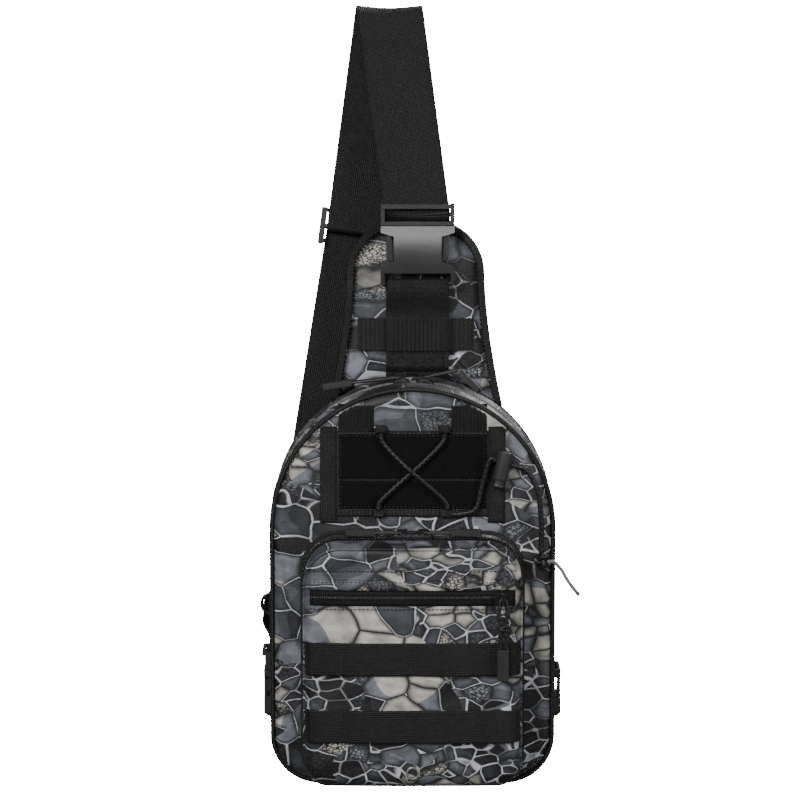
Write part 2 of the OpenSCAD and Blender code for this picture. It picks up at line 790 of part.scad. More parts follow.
module main_pull_right() {
    color("#1a1a1b") in_hang_frame() at_arch(1) translate([0, 0, slider_t + bail_z])
        rotate([0, -main_slider_angle - right_lift, 0]) cord_pull(right_reach, right_tip_drop);
}

pocket_slider_x = 8;

module at_pocket_zip(s) { translate([s * pocket_slider_x, pocket_zip_y, pocket_z1]) children(); }

module pocket_slider_left() { color("#2c2c2e") in_hang_frame() at_pocket_zip(-1) zip_slider(); }
module pocket_slider_right() { color("#2c2c2e") in_hang_frame() at_pocket_zip(1) zip_slider(); }

pocket_reach = 20;

module pocket_pull_left() {
    color("#1a1a1b") in_hang_frame() at_pocket_zip(-1) translate([0, 0, slider_t + bail_z])
        rotate([0, 0, 180]) cord_pull(pocket_reach, 0);
}

module pocket_pull_right() {
    color("#1a1a1b") in_hang_frame() at_pocket_zip(1) translate([0, 0, slider_t + bail_z])
        cord_pull(pocket_reach, 0);
}

face_slider_x = 68;
face_slider_z = zip_z + face_zip_h / 2;

module at_face_zip() {
    translate([face_slider_x, face_y - 1, face_slider_z]) rotate([90, 0, 0]) children();
}

module face_slider() { color("#2c2c2e") in_hang_frame() at_face_zip() zip_slider(90); }

module face_pull() {
    color("#1a1a1b") in_hang_frame() at_face_zip() translate([0, 0, slider_t + bail_z])
        rotate([0, 0, -90]) cord_pull(main_reach, 0);
}

// ---- Strap ---------------------------------------------------------------------------------

lean_dir = [-sin(strap_lean), 0, cos(strap_lean)];
front_across = [cos(strap_lean), 0, sin(strap_lean)];
back_across = [cos(strap_lean), 0, -sin(strap_lean)];
bar_center = [buckle_x, -front_run_y, mouth_z + plug_bar_z];

function front_point(z, y) = [buckle_x - (z - bar_center[2]) * tan(strap_lean), y, z];
function back_point(z, y) = [fold_back_x - (fold_z - z) * tan(strap_lean), y, z];

// Over the fold: a screw line round the fold axis, so that the flat webbing isn't stretched.
function fold_points(r) = [for (a = [0:15:180])
    [fold_front_x - fold_r * a * PI / 180 * tan(strap_lean), fold_y - r * cos(a), fold_z + r * sin(a)]];
function fold_across() = [for (a = [0:15:180])
    [cos(strap_lean), -sin(strap_lean) * sin(a), sin(strap_lean) * cos(a)]];

lower_end_z = side_mouth_z + 88;
lower_kink = 1.6;

module strap_outer_layer() {
    y_front = -front_run_y - layer_off;
    y_back = back_run_y + layer_off;
    under = [for (a = [0:30:150]) bar_center + loop_r * [0, cos(a), -sin(a)]];
    front = concat([bar_center + [0, -loop_r, 0]], [front_point(bar_center[2] + 9, y_front - 0.4)],
        [for (k = [1:8]) front_point(bar_center[2] + 12 + (fold_z - bar_center[2] - 16) * k / 9, y_front)]);
    back = [for (z = [fold_z - 12, slider_z + 40, slider_z, slider_z - 25, body_h, 230, lower_end_z])
        back_point(z, y_back) - [max(0, slider_z - z) * (tan(strap_lean + lower_kink) - tan(strap_lean)), 0, 0]];
    path = concat(under, front, fold_points(fold_r + layer_off), back);
    across = concat([for (p = under) [1, 0, 0]], [[1, 0, 0]], [[1, 0, 0.5 * sin(strap_lean)]],
        [for (k = [1:8]) front_across], fold_across(), [for (p = back) back_across]);
    color(WEB) in_hang_frame() ribbon(path, across, strap_w, strap_t);
}

inner_end_z = slider_z + slider_travel + 8;

module strap_inner_layer() {
    y_front = -front_run_y + layer_off;
    y_back = back_run_y - layer_off;
    front = concat([bar_center + [0, loop_r, part_gap]], [front_point(bar_center[2] + 9, y_front + 0.4)],
        [for (k = [1:8]) front_point(bar_center[2] + 12 + (fold_z - bar_center[2] - 16) * k / 9, y_front)]);
    back = [for (z = [fold_z - 12, inner_end_z]) back_point(z, y_back)];
    path = concat(front, fold_points(fold_r - layer_off), back);
    across = concat([[1, 0, 0]], [[1, 0, 0.5 * sin(strap_lean)]], [for (k = [1:8]) front_across],
        fold_across(), [for (p = back) back_across]);
    color(WEB) in_hang_frame() ribbon(path, across, strap_w, strap_t);
}

// The narrow webbing from the strap's lower end round the bag's rear edge to the small plug.
module strap_tail() {
    top = back_point(lower_end_z, back_run_y + layer_off)
        - [(slider_z - lower_end_z) * (tan(strap_lean + lower_kink) - tan(strap_lean)), 0, 0];
    bar = [-side_x, side_y, side_mouth_z + plug_bar_z];
    tail_y = back_run_y + layer_off + (strap_t + web_t) / 2 + 0.1;
    points = [[top[0] + 3.5, tail_y, lower_end_z + 24], [top[0] - 0.4, tail_y, lower_end_z],
        [top[0] - 7, tail_y - 0.5, lower_end_z - 20], [-arch_r - 1, padding_t + 3, side_mouth_z + 46],
        [-arch_r - 6.5, -5, side_mouth_z + 31], [-side_x + 0.6, side_y + 3, side_mouth_z + 19],
        bar + [-loop_r, 0, 1]];
    turn = [0, 0, 12, 45, 75, 88, 90];
    path = concat(smooth_path(points, 2),
        [for (a = [0:30:180]) bar + loop_r * [-cos(a), 0, -sin(a)]], [bar + [loop_r, 0, 6]]);
    turns = concat(smooth_path(turn, 2), [for (i = [0:7]) 90]);
    color(WEB) in_hang_frame()
        ribbon(path, [for (a = turns) [cos(a), sin(a), -0.12 * cos(a)]], web_w - 1, strap_t);
}

rail_t = 4.5;
loop_top = slider_travel + 16;
bar_y = back_run_y + layer_off - strap_t / 2 - 0.4 - loop_r - strap_t / 2;

module at_slider() { translate([slider_x, 0, slider_z]) rotate([0, strap_lean, 0]) children(); }

// Three-bar slider: its middle bar is ahead of the strap and its outer bars are behind it.
module strap_slider() {
    half = strap_w / 2 + 1.2;
    back_bar_y = back_run_y + layer_off + strap_t / 2 + 0.5 + 1.7;
    color(PLASTIC) in_hang_frame() at_slider() {
        for (s = [-1, 1]) translate([s * (half + rail_t / 2), (bar_y + back_bar_y) / 2, 0])
            cube([rail_t, back_bar_y - bar_y + 5, 2 * slider_half], center = true);
        translate([-half - 1, bar_y, 0]) rotate([0, 90, 0])
            cylinder(d = loop_bar_d, h = 2 * half + 2, $fn = 32);
        for (z = [-1, 1]) translate([-half - 1, back_bar_y, z * (slider_half - 2)]) rotate([0, 90, 0])
            cylinder(d = 3.4, h = 2 * half + 2, $fn = 32);
    }
}

// Webbing round the slider's middle bar, doubled and sewn above it.
module slider_loop() {
    path = concat([[0, bar_y - 0.2, loop_top], [0, bar_y - 0.2, 40], [0, bar_y - 1.2, 20],
        [0, bar_y - loop_r, 8]],
        [for (a = [180:30:360]) [0, bar_y + loop_r * cos(a), loop_r * sin(a)]],
        [[0, bar_y + loop_r, 4]]);
    color(WEB) in_hang_frame() at_slider()
        ribbon(path, [for (p = path) [1, 0, 0]], strap_w, strap_t);
}

back_panel();
back_padding();
rear_gusset();
rear_zip_tape();
rear_piping();
shoulder_yoke();
yoke_binding();
yoke_center_webbing();
yoke_cross_webbing();
big_receptacle();
left_tab();
left_receptacle();
right_tab();
right_receptacle();
side_webbing();
d_ring_tab();
d_ring();
front_panel();
front_gusset();
front_zip_tape();
front_piping();
loop_field();
panel_strips();
ribbed_webbing();
cord_anchors();
elastic_cord_a();
elastic_cord_b();
cord_lock_barrel();
cord_lock_plunger();
free_cord();
cord_knot();
thin_tail();
pocket_rear_gusset();
pocket_binding();
pocket_face();
pocket_front_gusset();
pocket_piping();
pocket_hem();
face_zip();
webbing_rows();
drain_eyelet();
main_slider_left();
main_slider_right();
main_pull_left();
main_pull_right();
pocket_slider_left();
pocket_slider_right();
pocket_pull_left();
pocket_pull_right();
face_slider();
face_pull();
strap_outer_layer();
strap_inner_layer();
strap_tail();
big_plug();
small_plug();
plug_prongs_left();
plug_prongs_right();
strap_slider();
slider_loop();
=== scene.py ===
"""Looks of a one-shoulder sling bag in grey scale camouflage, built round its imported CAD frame.

Sizes are in millimetres in the bag's own frame until a mesh is made: x = 0 on the middle line, z = 0 at
the base, y = 0 on the rear face of the back panel and -y to the front.
"""
import logging
import math
from dataclasses import dataclass
from enum import Enum
from typing import Any, Callable, Mapping, Optional, Sequence

import bmesh
import bpy
import numpy as np
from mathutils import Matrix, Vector


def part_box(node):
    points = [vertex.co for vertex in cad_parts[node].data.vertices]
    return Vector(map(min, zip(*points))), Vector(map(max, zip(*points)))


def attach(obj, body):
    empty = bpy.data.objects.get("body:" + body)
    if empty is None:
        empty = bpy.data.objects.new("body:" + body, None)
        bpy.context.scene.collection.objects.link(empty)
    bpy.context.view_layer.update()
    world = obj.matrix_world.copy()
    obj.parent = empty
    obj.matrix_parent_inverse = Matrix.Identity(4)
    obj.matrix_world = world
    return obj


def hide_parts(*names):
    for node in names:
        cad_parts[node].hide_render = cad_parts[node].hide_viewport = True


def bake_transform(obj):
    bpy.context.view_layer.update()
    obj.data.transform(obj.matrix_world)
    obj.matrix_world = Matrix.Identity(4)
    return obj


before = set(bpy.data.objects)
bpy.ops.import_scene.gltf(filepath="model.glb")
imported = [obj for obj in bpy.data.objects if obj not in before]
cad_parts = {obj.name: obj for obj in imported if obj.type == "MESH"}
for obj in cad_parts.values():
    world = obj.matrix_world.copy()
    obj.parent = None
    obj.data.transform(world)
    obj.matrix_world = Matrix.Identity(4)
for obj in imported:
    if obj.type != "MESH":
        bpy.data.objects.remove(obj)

log = logging.getLogger("sling_bag")
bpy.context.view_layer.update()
Surface = Callable[[np.ndarray, np.ndarray], np.ndarray]
RIM_SHARE = 0.5  # of a pad's thickness, about its middle, that is pinned while it swells
SWELL_FRAMES = 20
SKY_LIGHT, SKY_SEEN = 0.12, 30.0  # the world's strength as light, and as the camera sees it
RIPPLES = 9  # sine waves in a creased surface
WAVE_SCALE = 314.0  # TexWave repeats every 2*pi/(20*scale) metres, so scale is this over the pitch in mm
FORWARD = (0, -1.0, 0)
REARWARD = (0, 1.0, 0)
UPWARD = (0, 0, 1.0)


# ---- Frame and mesh making -------------------------------------------------------------------


@dataclass(frozen=True)
class BagFrame:
    """The bag's own frame, found from the CAD nodes."""

    x: float
    y: float
    z: float

    @classmethod
    def from_cad(cls) -> "BagFrame":
        """Finds the frame from the front panel's box and the back panel's rear face."""
        low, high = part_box("front_panel")
        return cls((low.x + high.x) / 2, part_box("back_panel")[1].y, low.z)

    def place(self, points: Any) -> np.ndarray:
        """Turns millimetres in the bag's frame into metres in the shared frame."""
        return np.asarray(points, float) * 0.001 + np.array([self.x, self.y, self.z])


BAG = BagFrame.from_cad()


def linear(code: str) -> tuple[float, float, float, float]:
    """Turns an sRGB hex colour into linear light.

    Args:
        code: six hex digits after a hash sign.

    Returns:
        Red, green and blue from 0 to 1, and alpha 1: c/12.92 below 0.04045, ((c+0.055)/1.055)^2.4 above.
    """
    parts = np.array([int(code[i:i + 2], 16) / 255 for i in (1, 3, 5)])
    light = np.where(parts <= 0.04045, parts / 12.92, ((parts + 0.055) / 1.055) ** 2.4)
    return (float(light[0]), float(light[1]), float(light[2]), 1.0)


def unit(vectors: Any) -> np.ndarray:
    """Scales vectors to length 1."""
    vectors = np.asarray(vectors, float)
    return vectors / np.maximum(np.linalg.norm(vectors, axis=-1, keepdims=True), 1e-9)


def along(points: np.ndarray) -> np.ndarray:
    """Distance travelled along a line of points, from 0."""
    steps = np.linalg.norm(np.diff(points, axis=0), axis=1)
    return np.concatenate([[0.0], np.cumsum(steps)])


def resample(points: Any, count: int) -> np.ndarray:
    """Places count points at equal steps along a line of points."""
    points = np.asarray(points, float)
    travel = along(points)
    stops = np.linspace(0, travel[-1], count)
    return np.stack([np.interp(stops, travel, points[:, k]) for k in range(points.shape[1])], 1)


def smooth(points: Any, steps: int = 10) -> np.ndarray:
    """A smooth line through points: a Catmull-Rom spline with steps pieces between each two of them."""
    p = np.asarray(points, float)
    q = np.concatenate([p[:1], p, p[-1:]])
    t = (np.arange(steps) / steps)[None, :, None]
    a, b, c, d = (q[k:len(q) - 3 + k, None, :] for k in range(4))
    line = 0.5 * (2 * b + (c - a) * t + (2 * a - 5 * b + 4 * c - d) * t ** 2
                  + (3 * b - a - 3 * c + d) * t ** 3)
    return np.concatenate([line.reshape(-1, p.shape[1]), p[-1:]])


def ease(t: Any) -> np.ndarray:
    """The smooth step 3t^2 - 2t^3 of a number held between 0 and 1."""
    t = np.clip(t, 0, 1)
    return 3 * t ** 2 - 2 * t ** 3


def read_array(items: Any, field: str) -> np.ndarray:
    """Reads three numbers for each vertex or face of a mesh, as rows."""
    flat = np.zeros(len(items) * 3)
    items.foreach_get(field, flat)
    return flat.reshape(-1, 3)


def shade_smooth(mesh: bpy.types.Mesh) -> None:
    """Shades every face of a mesh smooth."""
    mesh.polygons.foreach_set("use_smooth", np.ones(len(mesh.polygons), bool))


def ripple(x: np.ndarray, z: np.ndarray, seed: int, pitch: float) -> np.ndarray:
    """Soft creases: sine waves of seeded direction and pitch, summed, over the root of their number."""
    chance = np.random.default_rng(seed)
    total = np.zeros(np.broadcast(x, z).shape)
    for _ in range(RIPPLES):
        turn, phase = chance.uniform(0, math.pi), chance.uniform(0, 2 * math.pi)
        wave = 2 * math.pi / (pitch * chance.uniform(0.6, 1.9))
        total = total + np.sin(wave * (x * math.cos(turn) + z * math.sin(turn)) + phase)
    return total / math.sqrt(RIPPLES)


def grid_object(name: str, points: np.ndarray, wrap_u: bool = False,
                caps: tuple[bool, bool] = (False, False),
                u: Optional[np.ndarray] = None, v: Optional[np.ndarray] = None) -> bpy.types.Object:
    """Makes a mesh object from a grid of points P[i, j].

    Args:
        name: the object's name.
        points: m rows of n points, in millimetres in the bag's frame.
        wrap_u: joins the last column to the first.
        caps: whether the first row and the last row are each closed with one face.
        u: texture coordinate of each column in millimetres, one more than n when wrapped.
        v: texture coordinate of each row in millimetres.

    Returns:
        The object, with faces outwards and a UV map in metres.
    """
    m, n, _ = points.shape
    middle = points[m // 2]
    if u is None:
        u = along(np.concatenate([middle, middle[:1]]) if wrap_u else middle)
    if v is None:
        v = along(points[:, n // 4])
    i, j = np.meshgrid(np.arange(m - 1), np.arange(n if wrap_u else n - 1), indexing="ij")
    rows = np.stack([i, i, i + 1, i + 1], -1).reshape(-1, 4)
    cols = np.stack([j, j + 1, j + 1, j], -1).reshape(-1, 4)
    quads = rows * n + cols % n
    mesh = bpy.data.meshes.new(name)
    polys = quads.tolist()
    if caps[0]:
        polys.append(list(range(n)))
    if caps[1]:
        polys.append(list(range((m - 1) * n, m * n))[::-1])
    mesh.from_pydata(BAG.place(points.reshape(-1, 3)).tolist(), [], polys)
    flat = np.zeros((len(mesh.loops), 2))
    flat[:quads.size] = np.stack([np.asarray(u)[cols], np.asarray(v)[rows]], -1).reshape(-1, 2) * 0.001
    mesh.uv_layers.new(name="UVMap").data.foreach_set("uv", flat.ravel())
    outwards(mesh)
    return linked(name, mesh)


def outwards(mesh: bpy.types.Mesh) -> None:
    """Points a mesh's faces away from its middle and shades it smooth."""
    work = bmesh.new()
    work.from_mesh(mesh)
    bmesh.ops.recalc_face_normals(work, faces=work.faces)
    middle = sum((f.calc_center_median() for f in work.faces), Vector()) / max(len(work.faces), 1)
    lean = sum((f.calc_center_median() - middle).dot(f.normal) * f.calc_area() for f in work.faces)
    if lean < 0:
        bmesh.ops.reverse_faces(work, faces=work.faces)
    work.to_mesh(mesh)
    work.free()
    shade_smooth(mesh)


def linked(name: str, data: bpy.types.ID) -> bpy.types.Object:
    """Puts a mesh, camera or lamp into the scene as an object at the origin."""
    obj = bpy.data.objects.new(name, data)
    bpy.context.scene.collection.objects.link(obj)
    return obj


def sweep(path: np.ndarray, across: Any, profile: np.ndarray) -> np.ndarray:
    """Carries a flat profile along a path.

    Each point is path + a * across + b * (across x tangent), for a profile point (a, b). across is made
    square to the path's own direction first.
    """
    tangent = unit(np.gradient(path, axis=0))
    across = np.broadcast_to(np.asarray(across, float), path.shape)
    side = unit(across - tangent * (across * tangent).sum(1, keepdims=True))
    up = np.cross(side, tangent)
    return path[:, None] + side[:, None] * profile[None, :, :1] + up[:, None] * profile[None, :, 1:2]


def band_profile(width: float, thick: float, count: int = 14) -> np.ndarray:
    """A flat band's section: a superellipse |2a/w|^9 + |2b/t|^3 = 1, so its edges are round."""
    a = np.linspace(0, 2 * math.pi, 4 * count, endpoint=False) + 0.01
    c, s = np.cos(a), np.sin(a)
    grow = (np.abs(c) ** 9 + np.abs(s) ** 3) ** (-1 / 5.0)
    flat = np.clip(c * grow * 1.08, -1, 1)
    return np.stack([np.sin(flat * math.pi / 2) * width / 2, np.clip(s * grow, -1, 1) * thick / 2], 1)


def round_profile(width: float, thick: float, count: int = 16) -> np.ndarray:
    """An ellipse's section, width across and thick up."""
    a = np.linspace(0, 2 * math.pi, count, endpoint=False)
    return np.stack([np.cos(a) * width / 2, np.sin(a) * thick / 2], 1)


def ribbon(name: str, path: Any, across: Any, width: float, thick: float) -> bpy.types.Object:
    """A strip of webbing carried along a path, with its UV map across and along it."""
    path = np.asarray(path, float)
    profile = band_profile(width, thick)
    spread = np.concatenate([profile[:, 0], profile[:1, 0]])
    return grid_object(name, sweep(path, across, profile), True, (True, True), spread, along(path))


def tube(name: str, path: Any, across: Any, width: float, thick: float,
         closed: bool = False) -> bpy.types.Object:
    """A cord, piping or binding of oval section carried along a path; closed joins its two ends."""
    path = np.asarray(path, float)
    if closed:
        ring = np.concatenate([path[-1:], path, path[:2]])
        across = np.broadcast_to(np.asarray(across, float), path.shape)
        across = np.concatenate([across[-1:], across, across[:2]])
        points = sweep(ring, across, round_profile(width, thick))[1:-1]
        obj = grid_object(name, points, True)
        weld(obj.data, 0.00001)
        return obj
    return grid_object(name, sweep(path, across, round_profile(width, thick)), True, (True, True))


def rope(name: str, path: Any, size: float) -> bpy.types.Object:
    """A cord of round section carried along a path."""
    return tube(name, path, REARWARD, size, size)


def weld(mesh: bpy.types.Mesh, reach: float) -> None:
    """Merges a mesh's vertices that lie within reach of each other, in metres."""
    work = bmesh.new()
    work.from_mesh(mesh)
    bmesh.ops.remove_doubles(work, verts=work.verts, dist=reach)
    work.to_mesh(mesh)
    work.free()


BRICK = np.array([[x, y, z] for x in (-0.5, 0.5) for y in (-0.5, 0.5) for z in (-0.5, 0.5)])
BRICK_FACES = np.array([[0, 1, 3, 2], [4, 6, 7, 5], [0, 4, 5, 1], [2, 3, 7, 6], [0, 2, 6, 4],
                        [1, 5, 7, 3]])


def scattered(name: str, spots: np.ndarray, run: np.ndarray, out: np.ndarray,
              size: tuple[float, float, float]) -> bpy.types.Object:
    """Many small bricks with pinched tops, as zip teeth or stitches.

    Args:
        name: the object's name.
        spots: the middle of each brick.
        run: the direction of each brick's length.
        out: the direction that each brick stands out in.
        size: length, width and height in millimetres.

    Returns:
        One object: spot + length * run + width * (out x run) + height * out for each brick's corners.
    """
    run, out = unit(np.broadcast_to(run, spots.shape)), unit(np.broadcast_to(out, spots.shape))
    side = np.cross(out, run)
    shape = BRICK.copy()
    shape[shape[:, 2] > 0, :2] *= 0.62
    shape = shape * np.array(size)
    points = (spots[:, None] + run[:, None] * shape[None, :, :1] + side[:, None] * shape[None, :, 1:2]
              + out[:, None] * shape[None, :, 2:3])
    faces = (np.arange(len(spots))[:, None, None] * 8 + BRICK_FACES[None]).reshape(-1, 4)
    mesh = bpy.data.meshes.new(name)
    mesh.from_pydata(BAG.place(points.reshape(-1, 3)).tolist(), [], faces.tolist())
    outwards(mesh)
    return linked(name, mesh)


def stitches(name: str, path: Any, out: Any, pitch: float = 3.0, proud: float = 0.25) -> bpy.types.Object:
    """A row of thread stitches along a path, each 2/3 of the pitch long, standing out by proud."""
    path = np.asarray(path, float)
    count = max(3, int(along(path)[-1] / pitch))
    spots = resample(path, count)
    normal = unit(np.broadcast_to(np.asarray(out, float), spots.shape)
                  if np.ndim(out) == 1 else resample(out, count))
    return scattered(name, spots + normal * proud, np.gradient(spots, axis=0), normal,
                     (pitch * 0.68, 0.75, 0.7))


def patch(name: str, x: tuple[float, float], z: tuple[float, float], surface: Surface, thick: float,
          keep: Optional[Surface] = None, step: float = 2.0) -> bpy.types.Object:
    """A sewn-on patch that follows a surface.

    Its height over the surface is thick * s(e / 1.2), where e is the distance to the patch's edge in
    millimetres and s the smooth step 3t^2 - 2t^3, so that it ends just under the surface.

    Args:
        name: the object's name.
        x: its left and right edges.
        z: its lower and upper edges.
        surface: y of the surface under it, from x and z.
        thick: its height.
        keep: how far inside the panel a point is; the patch is pulled in to stay 1 mm inside.
        step: the grid's step in millimetres.

    Returns:
        The object.
    """
    def stops(a: float, b: float) -> np.ndarray:
        """Grid lines from a to b, closer together near both ends."""
        inner = np.linspace(a + 1.2, b - 1.2, max(3, int((b - a) / step)))
        return np.concatenate([[a, a + 0.35, a + 0.75], inner, [b - 0.75, b - 0.35, b]])

    gx, gz = np.meshgrid(stops(*x), stops(*z))
    edge = np.minimum(np.minimum(gx - x[0], x[1] - gx), np.minimum(gz - z[0], z[1] - gz))
    t = np.clip(edge / 1.2, 0, 1)
    if keep is not None:
        t = np.minimum(t, np.clip(keep(gx, gz) / 1.2, 0, 1))
    gy = surface(gx, gz) + 0.6 - (thick + 0.6) * ease(t)
    return grid_object(name, np.stack([gx, gy, gz], -1), u=stops(*x), v=stops(*z))


def inflate(obj: bpy.types.Object, cap: float, pressure: float = 4.0) -> None:
    """Swells a closed pad by cloth simulation, with its rim pinned, and applies the result.

    Args:
        obj: the pad, slightly thinner than it should end. Only its thickness changes.
        cap: the most that a point may move, in metres.
        pressure: the cloth's inner pressure.
    """
    scene = bpy.context.scene
    spots = read_array(obj.data.vertices, "co")
    low, high = spots[:, 1].min(), spots[:, 1].max()
    rim = np.nonzero(np.abs(2 * spots[:, 1] - low - high) < RIM_SHARE * (high - low))[0]
    obj.vertex_groups.new(name="rim").add(rim.tolist(), 1.0, "REPLACE")
    cloth = obj.modifiers.new("cloth", "CLOTH")
    cloth.settings.vertex_group_mass = "rim"
    cloth.settings.use_pressure = True
    cloth.settings.uniform_pressure_force = pressure
    cloth.settings.effector_weights.gravity = 0.0
    cloth.settings.quality = 5
    cloth.collision_settings.use_collision = False
    cloth.point_cache.frame_start, cloth.point_cache.frame_end = 1, SWELL_FRAMES
    for number in range(1, SWELL_FRAMES + 1):
        scene.frame_set(number)
    made = obj.evaluated_get(bpy.context.evaluated_depsgraph_get())
    swollen = read_array(made.data.vertices, "co")
    obj.modifiers.remove(cloth)
    obj.vertex_groups.clear()
    scene.frame_set(1)
    move = np.clip(swollen[:, 1] - spots[:, 1], -cap, cap)
    log.info("%s swells by up to %.2f mm, with %d points pinned", obj.name, 1000 * np.abs(move).max(),
             len(rim))
    spots[:, 1] += move
    obj.data.vertices.foreach_set("co", spots.ravel())
    obj.data.update()


# ---- Finishes --------------------------------------------------------------------------------


def add_node(tree: bpy.types.NodeTree, kind: str, settings: Optional[Mapping[str, Any]] = None,
             inputs: Optional[Mapping[Any, Any]] = None) -> bpy.types.Node:
    """Adds one shader node.

    Args:
        tree: the material's node tree.
        kind: the node's type name after ShaderNode.
        settings: attributes to set on the node.
        inputs: a value or an output to link, for each socket's name or number.

    Returns:
        The node.
    """
    node = tree.nodes.new("ShaderNode" + kind)
    for key, value in (settings or {}).items():
        setattr(node, key, value)
    for key, value in (inputs or {}).items():
        if isinstance(value, bpy.types.NodeSocket):
            tree.links.new(value, node.inputs[key])
        else:
            node.inputs[key].default_value = value
    return node


def ramp(tree: bpy.types.NodeTree, factor: bpy.types.NodeSocket,
         stops: Sequence[tuple[float, str]], steps: bool = False) -> bpy.types.NodeSocket:
    """Turns a number into a colour between sRGB stops, or in flat steps."""
    node = add_node(tree, "ValToRGB", inputs={"Fac": factor})
    strip = node.color_ramp
    strip.interpolation = "CONSTANT" if steps else "LINEAR"
    for k, (place, code) in enumerate(stops):
        stop = strip.elements[k] if k < 2 else strip.elements.new(place)
        stop.position, stop.color = place, linear(code)
    return node.outputs["Color"]


def maths(tree: bpy.types.NodeTree, operation: str, *values: Any) -> bpy.types.NodeSocket:
    """The result of a Math node with these values or outputs as its inputs."""
    return add_node(tree, "Math", {"operation": operation}, dict(enumerate(values))).outputs[0]


def noise(tree: bpy.types.NodeTree, at: bpy.types.NodeSocket, scale: float,
          detail: float) -> bpy.types.NodeSocket:
    """Smooth noise from 0 to 1 at a place, with scale as its cells to the metre."""
    return add_node(tree, "TexNoise", inputs={"Vector": at, "Scale": scale, "Detail": detail}).outputs["Fac"]


def waves(tree: bpy.types.NodeTree, at: bpy.types.NodeSocket, way: str, pitch_mm: float,
          **more: float) -> bpy.types.NodeSocket:
    """Bands across a direction, from 0 to 1, that repeat every pitch_mm."""
    return add_node(tree, "TexWave", {"bands_direction": way},
                    {"Vector": at, "Scale": WAVE_SCALE / pitch_mm, **more}).outputs["Fac"]


def mixed(tree: bpy.types.NodeTree, share: Any, first: bpy.types.NodeSocket, second: bpy.types.NodeSocket,
          blend: str = "MIX") -> bpy.types.NodeSocket:
    """Two colours mixed, with share as the second one's part."""
    return add_node(tree, "Mix", {"data_type": "RGBA", "blend_type": blend},
                    {0: share, 6: first, 7: second}).outputs[2]


class Follow(Enum):
    """What a pattern follows: the object's own space, or the UV map across and along a piece."""

    OBJECT = "Object"
    CLOTH = "UV"


@dataclass(frozen=True)
class Finish:
    """A plain finish: one colour, broken up by a slow change of tone, with a fine grain.

    tone and shade are its two sRGB colours, rough its roughness, grain_mm the size of its grain and
    bump the grain's height in millimetres.
    """

    name: str
    slot: str
    tone: str
    shade: str
    rough: float = 0.6
    metal: float = 0.0
    grain_mm: float = 0.6
    bump: float = 0.05
    sheen: float = 0.0
    specular: float = 0.5
    coat: float = 0.0
    follow: Follow = Follow.OBJECT

    def pattern(self, tree: bpy.types.NodeTree, at: bpy.types.NodeSocket) -> tuple[Any, Any]:
        """Colour and height of the finish at a place."""
        slow = noise(tree, at, 38.0, 4.0)
        fine = noise(tree, at, 1000.0 / self.grain_mm, 2.0)
        return ramp(tree, slow, [(0.35, self.shade), (0.65, self.tone)]), fine

    def material(self) -> bpy.types.Material:
        """Builds the finish's material, once."""
        known = bpy.data.materials.get(self.name)
        if known:
            return known
        made = bpy.data.materials.new(self.name)
        made.use_nodes = True
        tree = made.node_tree
        shader = tree.nodes["Principled BSDF"]
        place = add_node(tree, "TexCoord").outputs[self.follow.value]
        colour, height = self.pattern(tree, place)
        tree.links.new(colour, shader.inputs["Base Color"])
        dent = add_node(tree, "Bump", inputs={"Height": height, "Distance": self.bump * 0.001,
                                              "Strength": 1.0})
        tree.links.new(dent.outputs["Normal"], shader.inputs["Normal"])
        for socket, value in (("Metallic", self.metal), ("Roughness", self.rough),
                              ("Specular IOR Level", self.specular), ("Sheen Weight", self.sheen),
                              ("Sheen Roughness", 0.45), ("Coat Weight", self.coat)):
            shader.inputs[socket].default_value = value
        made.diffuse_color = linear(self.tone)
        return made


